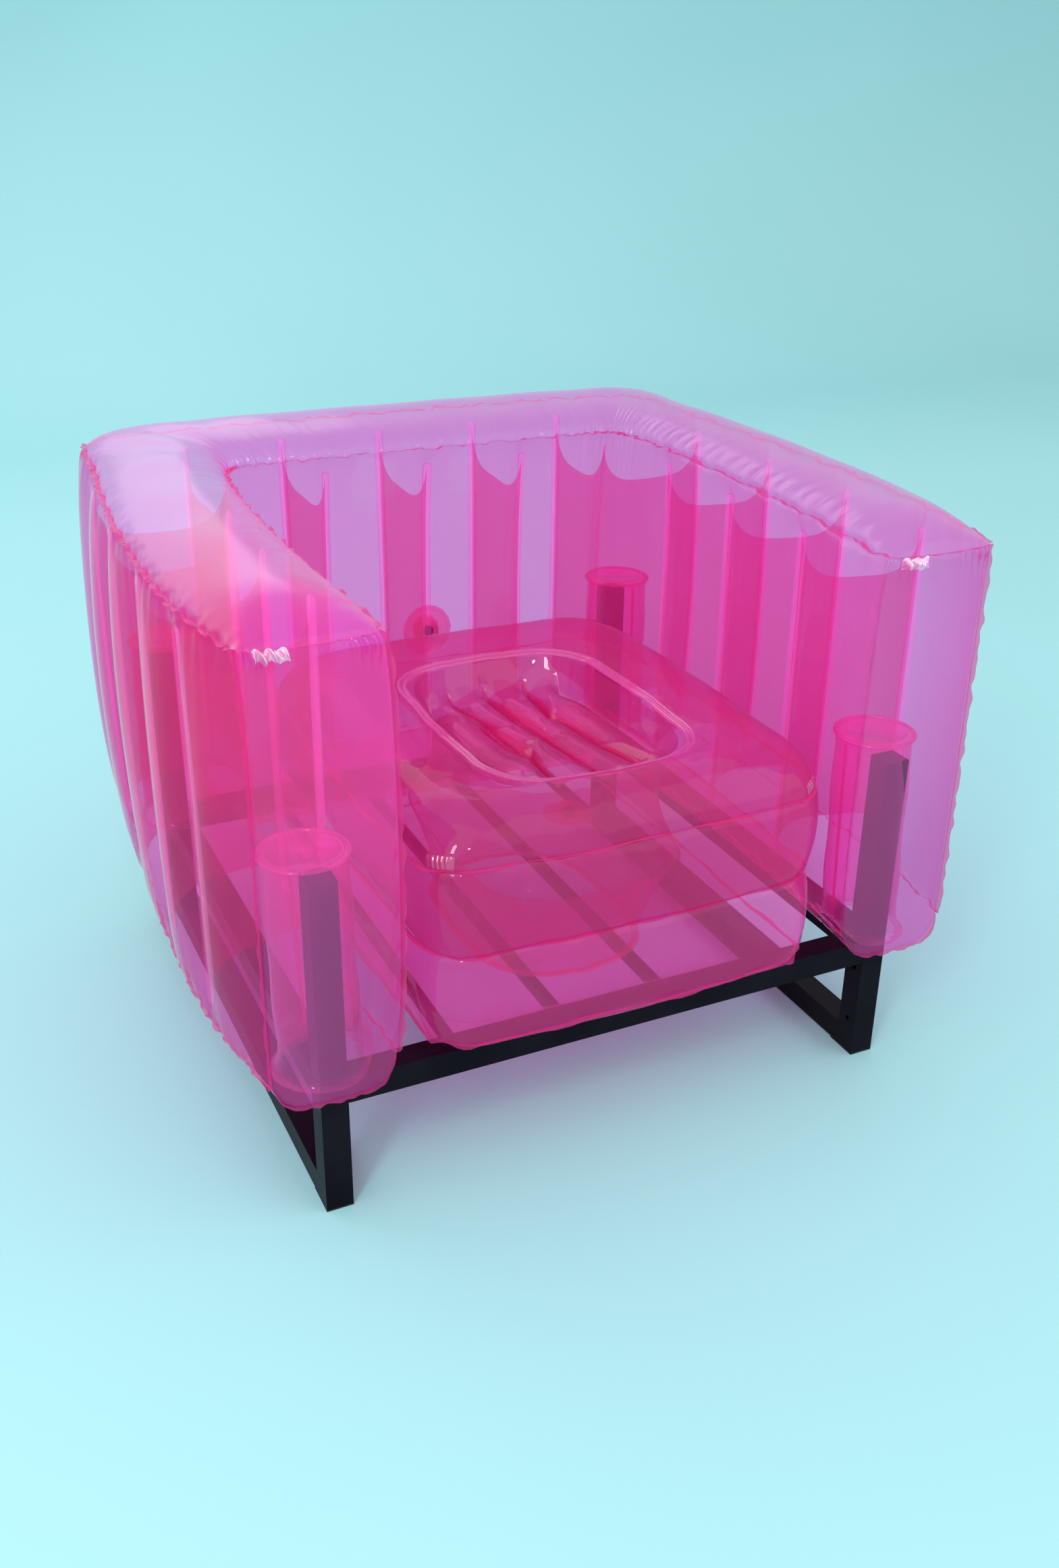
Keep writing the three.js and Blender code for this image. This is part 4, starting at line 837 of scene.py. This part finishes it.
def side_band(low, high, seeds):
    """A side of the cushion between two welds."""
    rows = []
    for share in eased(BAND_ROWS):
        loop = blend(low, high, share)
        pinch = math.sqrt(max(math.sin(math.pi * share), 0))
        away = min(share, 1 - share) * BAND_HEIGHT
        ripple = (around_wave(seeds, (3, 5, 8, 11), 1.5) * math.exp(-away / 18)
                  + around_wave(seeds + 1, (1, 2, 3), 1.4) * pinch)
        rows.append(push(loop, BAND_BULGE * pinch + ripple))
    return rows


def flange_loop(loop, seed, width):
    """A scalloped strip past one of the cushion's welds."""
    rows = []
    for share in FLANGE_SHARES:
        row = push(loop, width * (0.85 + 0.3 * around_wave(seed, (4, 6, 9))) * share)
        row[:, 2] += around_wave(seed + 1, (4, 7, 10), 1.5) * share
        rows.append(row)
    return rows


base = push(inset(12, 0, BASE_Z + 3, radius=42), around_wave(400, (3, 5, 8, 11), 1.5))
waist = push(inset(8, 0, WAIST_Z, radius=52), around_wave(404, (3, 5, 8, 11), 1.5))
top_seam = push(inset(0, 0, TOP_SEAM), around_wave(408, (3, 5, 8, 11), 1.5))
base[:, 2] += around_wave(401, (2, 3, 5), 1.2) + 6 * np.clip((-base[:, 1] - 200) / 150, 0, 1)
waist[:, 2] += around_wave(405, (2, 3, 5), 1.0)
top_seam[:, 2] += around_wave(409, (2, 3, 5), 1.4)

round_sheet("cushion_lower_film", side_band(base, waist, 410), LOWER_FILM,
            replaces=["cushion_lower_band"], padded=1.0)
round_sheet("cushion_upper_film", side_band(waist, top_seam, 420), CUSHION_FILM,
            replaces=["cushion_upper_band"], padded=1.0)

# The top rises from its weld in a quarter round to a crest, and runs on to the well's edge
WELL_HALF, WELL_FRONT = 120.0, CUSHION_FRONT + 74
WELL_BACK, WELL_Z = WELL_FRONT + 345, CREST_TOP - 8
WELL_MIDDLE = (WELL_FRONT + WELL_BACK) / 2
crest = inset(52, 52, CREST_TOP, radius=66)
edge = ring(WELL_HALF, WELL_FRONT, WELL_BACK, WELL_Z, radius=70, bow=4)
rows = []
for share in 1 - np.cos(np.linspace(0, np.pi / 2, 22)):
    loop = blend(top_seam, crest, share)
    height = math.sqrt(max(1 - (1 - share) ** 2, 0))
    loop[:, 2] = blend(top_seam[:, 2], TOP_SEAM, share) + (CREST_TOP - TOP_SEAM) * height
    away = 60 * share
    loop[:, 2] += around_wave(430, (5, 8, 11), 1.6) * (math.exp(-away / 14) - math.exp(-away / 3))
    rows.append(loop)
for share in np.linspace(0, 1, 12)[1:]:
    loop = blend(crest, edge, share)
    arch = math.sin(math.pi * share)
    loop[:, 2] += 3.2 * arch ** 0.8 + around_wave(440, (5, 8, 11), 0.9) * arch * share
    rows.append(loop)
round_sheet("cushion_top_film", rows, CUSHION_FILM, replaces=["cushion_top_panel"], padded=1.0)


def tuck(loops, middle, half):
    """Small glossy folds over loops of points, half a width of points either side of middle."""
    place = np.linspace(middle - half, middle + half, 57)
    k = place.astype(int)
    weight = (place - k)[:, None]
    patch = blend(loops[:, k % LOOP], loops[:, (k + 1) % LOOP], weight)
    along, down = np.linspace(-1, 1, 57)[None, :], np.linspace(0, 1, len(loops))[:, None]
    fold = np.sin(9 * along + 2.5 * down + middle) * np.sin(np.pi * down) ** 0.7 * (1 - along ** 4)
    centre = np.array([0, (CUSHION_FRONT + CUSHION_BACK) / 2])
    out = patch[..., :2] - centre
    out /= np.linalg.norm(out, axis=-1, keepdims=True)
    patch[..., :2] += out * (0.7 + 2.2 * np.abs(fold))[..., None]
    return patch


# The film is drawn into small folds at the top weld's four corners
TUCK_ROWS, TUCK_HALF = 5, 1.9
corners = [k * (STEPS + CORNER) + STEPS + CORNER / 2 for k in range(4)]
sheets("cushion_tucks", [tuck(np.stack(rows[:TUCK_ROWS]), place, TUCK_HALF) for place in corners],
       TUCK_FILM, "seat_cushion")

# The well: a double weld round its rim, then a hammock whose lobes run from front to back.
# FOOT is the share of its reach at which the hammock starts.
WELL_DEPTH, WELL_LOBES, LOBE_HEIGHT, FOOT = 46, 4, 17, 0.86
WELL_SQUARENESS, WELL_WAVES = 3.6, (0.8, 1.5, 2.3)


def well_sag(place):
    """The hammock's depth, which is less towards the front: place runs from -1 to 1."""
    return WELL_DEPTH * (1 - 0.5 * ((1 - place) / 2) ** 2)


def well_point(u, v):
    """u and v run over a square from -1 to 1, which is rounded to the well's plan."""
    reach = np.maximum(np.abs(u), np.abs(v))
    corner = (np.abs(u) ** WELL_SQUARENESS + np.abs(v) ** WELL_SQUARENESS) ** (1 / WELL_SQUARENESS)
    spread = np.where(reach > 0, reach / np.maximum(corner, 1e-9), 1)
    drop = np.clip((1 - reach) / (1 - FOOT), 0, 1)
    fall = np.sin(drop * np.pi / 2) ** 0.85
    spread = spread * (1 - 0.03 * fall)
    x = u * spread * WELL_HALF
    y = WELL_MIDDLE + v * spread * (WELL_BACK - WELL_MIDDLE)
    # The creases wander a little, and the lobes end in fingers at the rim
    across = u + 0.03 * np.sin(2.2 * v + 3 * u)
    lobe = np.abs(np.sin(np.pi * WELL_LOBES * (across / FOOT + 1) / 2)) ** 0.6 * (np.abs(across) < FOOT)
    fade = np.clip((0.985 - np.abs(v)) / 0.09, 0, 1) ** 0.5
    z = WELL_Z - well_sag(v) * fall + LOBE_HEIGHT * lobe * fade * fall
    return np.stack([x, y, z], -1)


def well_wrinkle(u, v):
    return wave(450, 2 * u + v, periods=WELL_WAVES, size=1.2) * (1 - np.maximum(np.abs(u), np.abs(v)))


u, v = grid_of(np.linspace(-1, 1, 161), np.linspace(-1, 1, 121))
dish = well_point(u, v)
dish[..., 2] += well_wrinkle(u, v)
sheet("cushion_well_film", dish, WELL_FILM, "seat_cushion", replaces=["cushion_well"], padded=1.0)
# Between two lobes the film lies double in a narrow leaf shape
LEAF_END, LEAF_MIDDLE = 0.012, 0.09
creases = []
for place in (-0.5, 0, 0.5):
    v, side = grid_of(np.linspace(-0.94, 0.94, 81), np.linspace(-1, 1, 11))
    leaf = LEAF_END + LEAF_MIDDLE * (1 - v ** 2) ** 0.9 * (0.7 + 0.3 * np.sin(4 * v + 9 * place))
    u = place * FOOT - 0.03 * np.sin(2.2 * v + 3 * place * FOOT) + leaf * side
    crease = well_point(u, v)
    crease[..., 2] += 0.8 + 0.8 * (1 - side ** 2) + well_wrinkle(u, v)
    creases.append(crease)
sheets("well_creases", creases, DEEP, "seat_cushion")
rim = []
for share in np.linspace(0, 1, 17):
    loop = push(edge, 14 * share - 1 + around_wave(455, (3, 5, 8), 0.7))
    loop[:, 2] = WELL_Z + 1 + 2.8 * share + 2.6 * abs(math.sin(2 * math.pi * share)) ** 0.8
    rim.append(loop)
round_sheet("weld_well_rim", rim, RIM_FILM)

# Inside the cushion: the waist web and the pillar under the well
pillar_waist = ring(WELL_HALF + 4, WELL_FRONT - 4, WELL_BACK + 4, WAIST_Z, radius=78, bow=4)
web_rows = []
for share in np.linspace(0, 1, 14):
    loop = blend(waist, pillar_waist, share)
    loop[:, 2] += 3 * math.sin(math.pi * share) * around_wave(460, (1, 2, 3))
    web_rows.append(loop)
round_sheet("cushion_waist_film", web_rows, CUSHION_FILM, replaces=["cushion_waist_web"])
foot_ring = ring(WELL_HALF - 20, WELL_FRONT + 46, WELL_BACK - 10, SEAT_Z + 0.8, radius=80, bow=4)
top_ring = ring(WELL_HALF - 24, WELL_FRONT + 24, WELL_BACK - 24, 0, radius=64, bow=4)
top_ring[:, 2] = WELL_Z - 2 - well_sag((top_ring[:, 1] - WELL_MIDDLE) / (WELL_BACK - WELL_MIDDLE))
pillar = []
for low, high in ((top_ring, pillar_waist), (pillar_waist, foot_ring)):
    for share in np.linspace(0, 1, 16)[:-1]:
        swell = -9 * math.sin(math.pi * share)
        pillar.append(push(blend(low, high, share), swell + around_wave(470, (3, 5, 7), 1.3)))
pillar.append(push(foot_ring, around_wave(470, (3, 5, 7), 1.3)))
round_sheet("cushion_pillar_film", pillar, CUSHION_FILM, replaces=["cushion_pillar"])

# The bottom lies on the front rail and the slats, and steps down behind the rail
RAIL_CLEARANCE = 6.5
rest = inset(32, 18, REST_Z)


def sag_ring(draw, z, front_more=0.0):
    """A loop of the bottom behind the front rail."""
    front = max(-HALF_DEPTH + TUBE + RAIL_CLEARANCE, CUSHION_FRONT + draw) + front_more
    return ring(CUSHION_HALF - draw, front, CUSHION_BACK - draw, z)


loops = [base]
for share in np.linspace(0, 1, 6)[1:]:
    loop = blend(base, rest, share)
    loop[:, 2] = REST_Z + (base[:, 2] - REST_Z) * (1 - share) ** 2
    loops.append(loop)
loops += [sag_ring(34, REST_Z), sag_ring(37, (REST_Z + SEAT_Z) / 2, 4), sag_ring(42, SEAT_Z, 8)]
lowest = loops[-1]
centre = np.array([0, (lowest[:, 1].min() + lowest[:, 1].max()) / 2, SEAT_Z])
for share in (0.2, 0.4, 0.6, 0.8, 0.97):
    loops.append(blend(lowest, centre, share))
round_sheet("cushion_bottom_film", loops[::-1], LOWER_FILM, replaces=["cushion_bottom_panel"], padded=1.0)

for name, loop, seed, width in (("base", base, 500, 6.5), ("waist", waist, 510, 5.5),
                                ("top", top_seam, 520, 5)):
    round_sheet(f"weld_cushion_{name}", flange_loop(loop, seed, width), WELD)
round_sheet("weld_pillar_foot", [push(foot_ring, by) for by in (-5, 0, 5)], WELD)

# A weld ring round the back's valve, on the outer wall, in the bead film whose whitish scatter is a
# painted highlight
low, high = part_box("body_valve_pin")
centre = np.array([(low[0] + high[0]) / 2, 0, (low[2] + high[2]) / 2]) * 1000
angle, radii = np.linspace(0, 2 * np.pi, 65)[:-1], (30.5, 31.5, 32.5, 33.5)
hoop = np.zeros((len(angle), len(radii), 3))
wall_y = wall("outer", np.linspace(8, 9, 60), 0.31)
wall_y = wall_y[np.argsort(wall_y[:, 0])]
for j, radius in enumerate(radii):
    x = centre[0] + radius * np.cos(angle)
    hoop[:, j, 0], hoop[:, j, 2] = x, centre[2] + radius * np.sin(angle)
    hoop[:, j, 1] = np.interp(x, wall_y[:, 0], wall_y[:, 1]) + (1.2 if j in (0, 3) else 2.4)
sheet("body_valve_ring", hoop, BEAD_WITH_PAINTED_HIGHLIGHT, "inflated_body", loop_rows=True)

# Floor, lights and camera
floor_material, nodes, links = new_material("floor")
shader = add(nodes, "BsdfPrincipled")
soft = noise(nodes, links, 0.8, 3)
colour = mix_colour(nodes, links, soft, (0.27, 0.59, 0.6), (0.31, 0.63, 0.64))
links.new(colour, shader.inputs["Base Color"])
links.new(ramp(nodes, links, soft, 0.55, 0.7), shader.inputs["Roughness"])
surface(nodes, links, shader.outputs["BSDF"])
# The floor runs back in metres, bends up round a cove and ends in a low backdrop
FLOOR_FRONT, FLOOR_BACK, COVE, BACKDROP_TOP, FLOOR_HALF, COVE_STEPS = -9.0, 3.2, 1.4, 2.6, 14.0, 12
profile = [(FLOOR_FRONT, 0.0), (FLOOR_BACK, 0.0)]
for k in range(1, COVE_STEPS + 1):
    bend = k / COVE_STEPS * math.pi / 2
    profile.append((FLOOR_BACK + COVE * math.sin(bend), COVE - COVE * math.cos(bend)))
profile.append((FLOOR_BACK + COVE, BACKDROP_TOP))
points = np.array([[x, y, z] for x in (-FLOOR_HALF, FLOOR_HALF) for y, z in profile])
floor = smooth_object("floor", points, grid_faces(2, len(profile)), floor_material)

# Area lights: the place, the height they aim at over the origin, the size, the power, the colour
WARM, WHITE = (1, 0.94, 0.97), (1, 1, 1)
for name, place, aim, size, power, colour in (
        ("key", (-3.0, -1.5, 4.0), 0.3, (7, 7), 110, WARM),
        ("fill", (3.4, -2.9, 3.2), 0.4, (6, 6), 80, WARM),
        ("back", (-1.2, 3.1, 2.6), 0.5, (5, 2.4), 45, WARM),
        ("softbox", (-2.1, -2.3, 2.5), 0.4, (0.5, 1.4), 40, WHITE),
        ("lamp", (-0.9, -3.2, 2.3), 0.4, (0.2, 0.2), 10, WHITE)):
    data = bpy.data.lights.new(name, "AREA")
    data.shape = "RECTANGLE"
    data.size, data.size_y = size
    data.energy, data.color = power, colour
    light = bpy.data.objects.new(name, data)
    light.location = place
    light.rotation_euler = (Vector((0, 0, aim)) - Vector(place)).to_track_quat("-Z", "Y").to_euler()
    scene.collection.objects.link(light)

world = bpy.data.worlds.new("studio")
world.use_nodes = True
set_inputs(world.node_tree.nodes["Background"], Color=(1, 0.96, 1, 1), Strength=0.95)
scene.world = world

# The photo's camera, solved from the frame: its place in the source's millimetres, its turns,
# and its focal length in pixels of an image of IMAGE_HEIGHT
CAMERA_PLACE, FOCAL_PIXELS, IMAGE_HEIGHT, SENSOR = (-697.0, -1547.7, 1098.5), 2206.5, 2324, 36
yaw, pitch, roll = math.radians(25.651), math.radians(25.688), math.radians(0.766)
forward = Vector((math.sin(yaw) * math.cos(pitch), math.cos(yaw) * math.cos(pitch), -math.sin(pitch)))
right = Vector((math.cos(yaw), -math.sin(yaw), 0))
up = right.cross(forward)
right, up = math.cos(roll) * right + math.sin(roll) * up, -math.sin(roll) * right + math.cos(roll) * up
camera_data = bpy.data.cameras.new("camera")
camera_data.sensor_width = SENSOR
camera_data.lens = FOCAL_PIXELS / IMAGE_HEIGHT * SENSOR
camera = bpy.data.objects.new("camera", camera_data)
place = Vector(to_row(CAMERA_PLACE).tolist())
rotation = Matrix((right, up, -forward)).transposed()
camera.matrix_world = Matrix.Translation(place) @ rotation.to_4x4()
scene.collection.objects.link(camera)
scene.camera = camera

scene.view_settings.view_transform = "Standard"
scene.cycles.transparent_max_bounces = 40
scene.cycles.max_bounces = 14
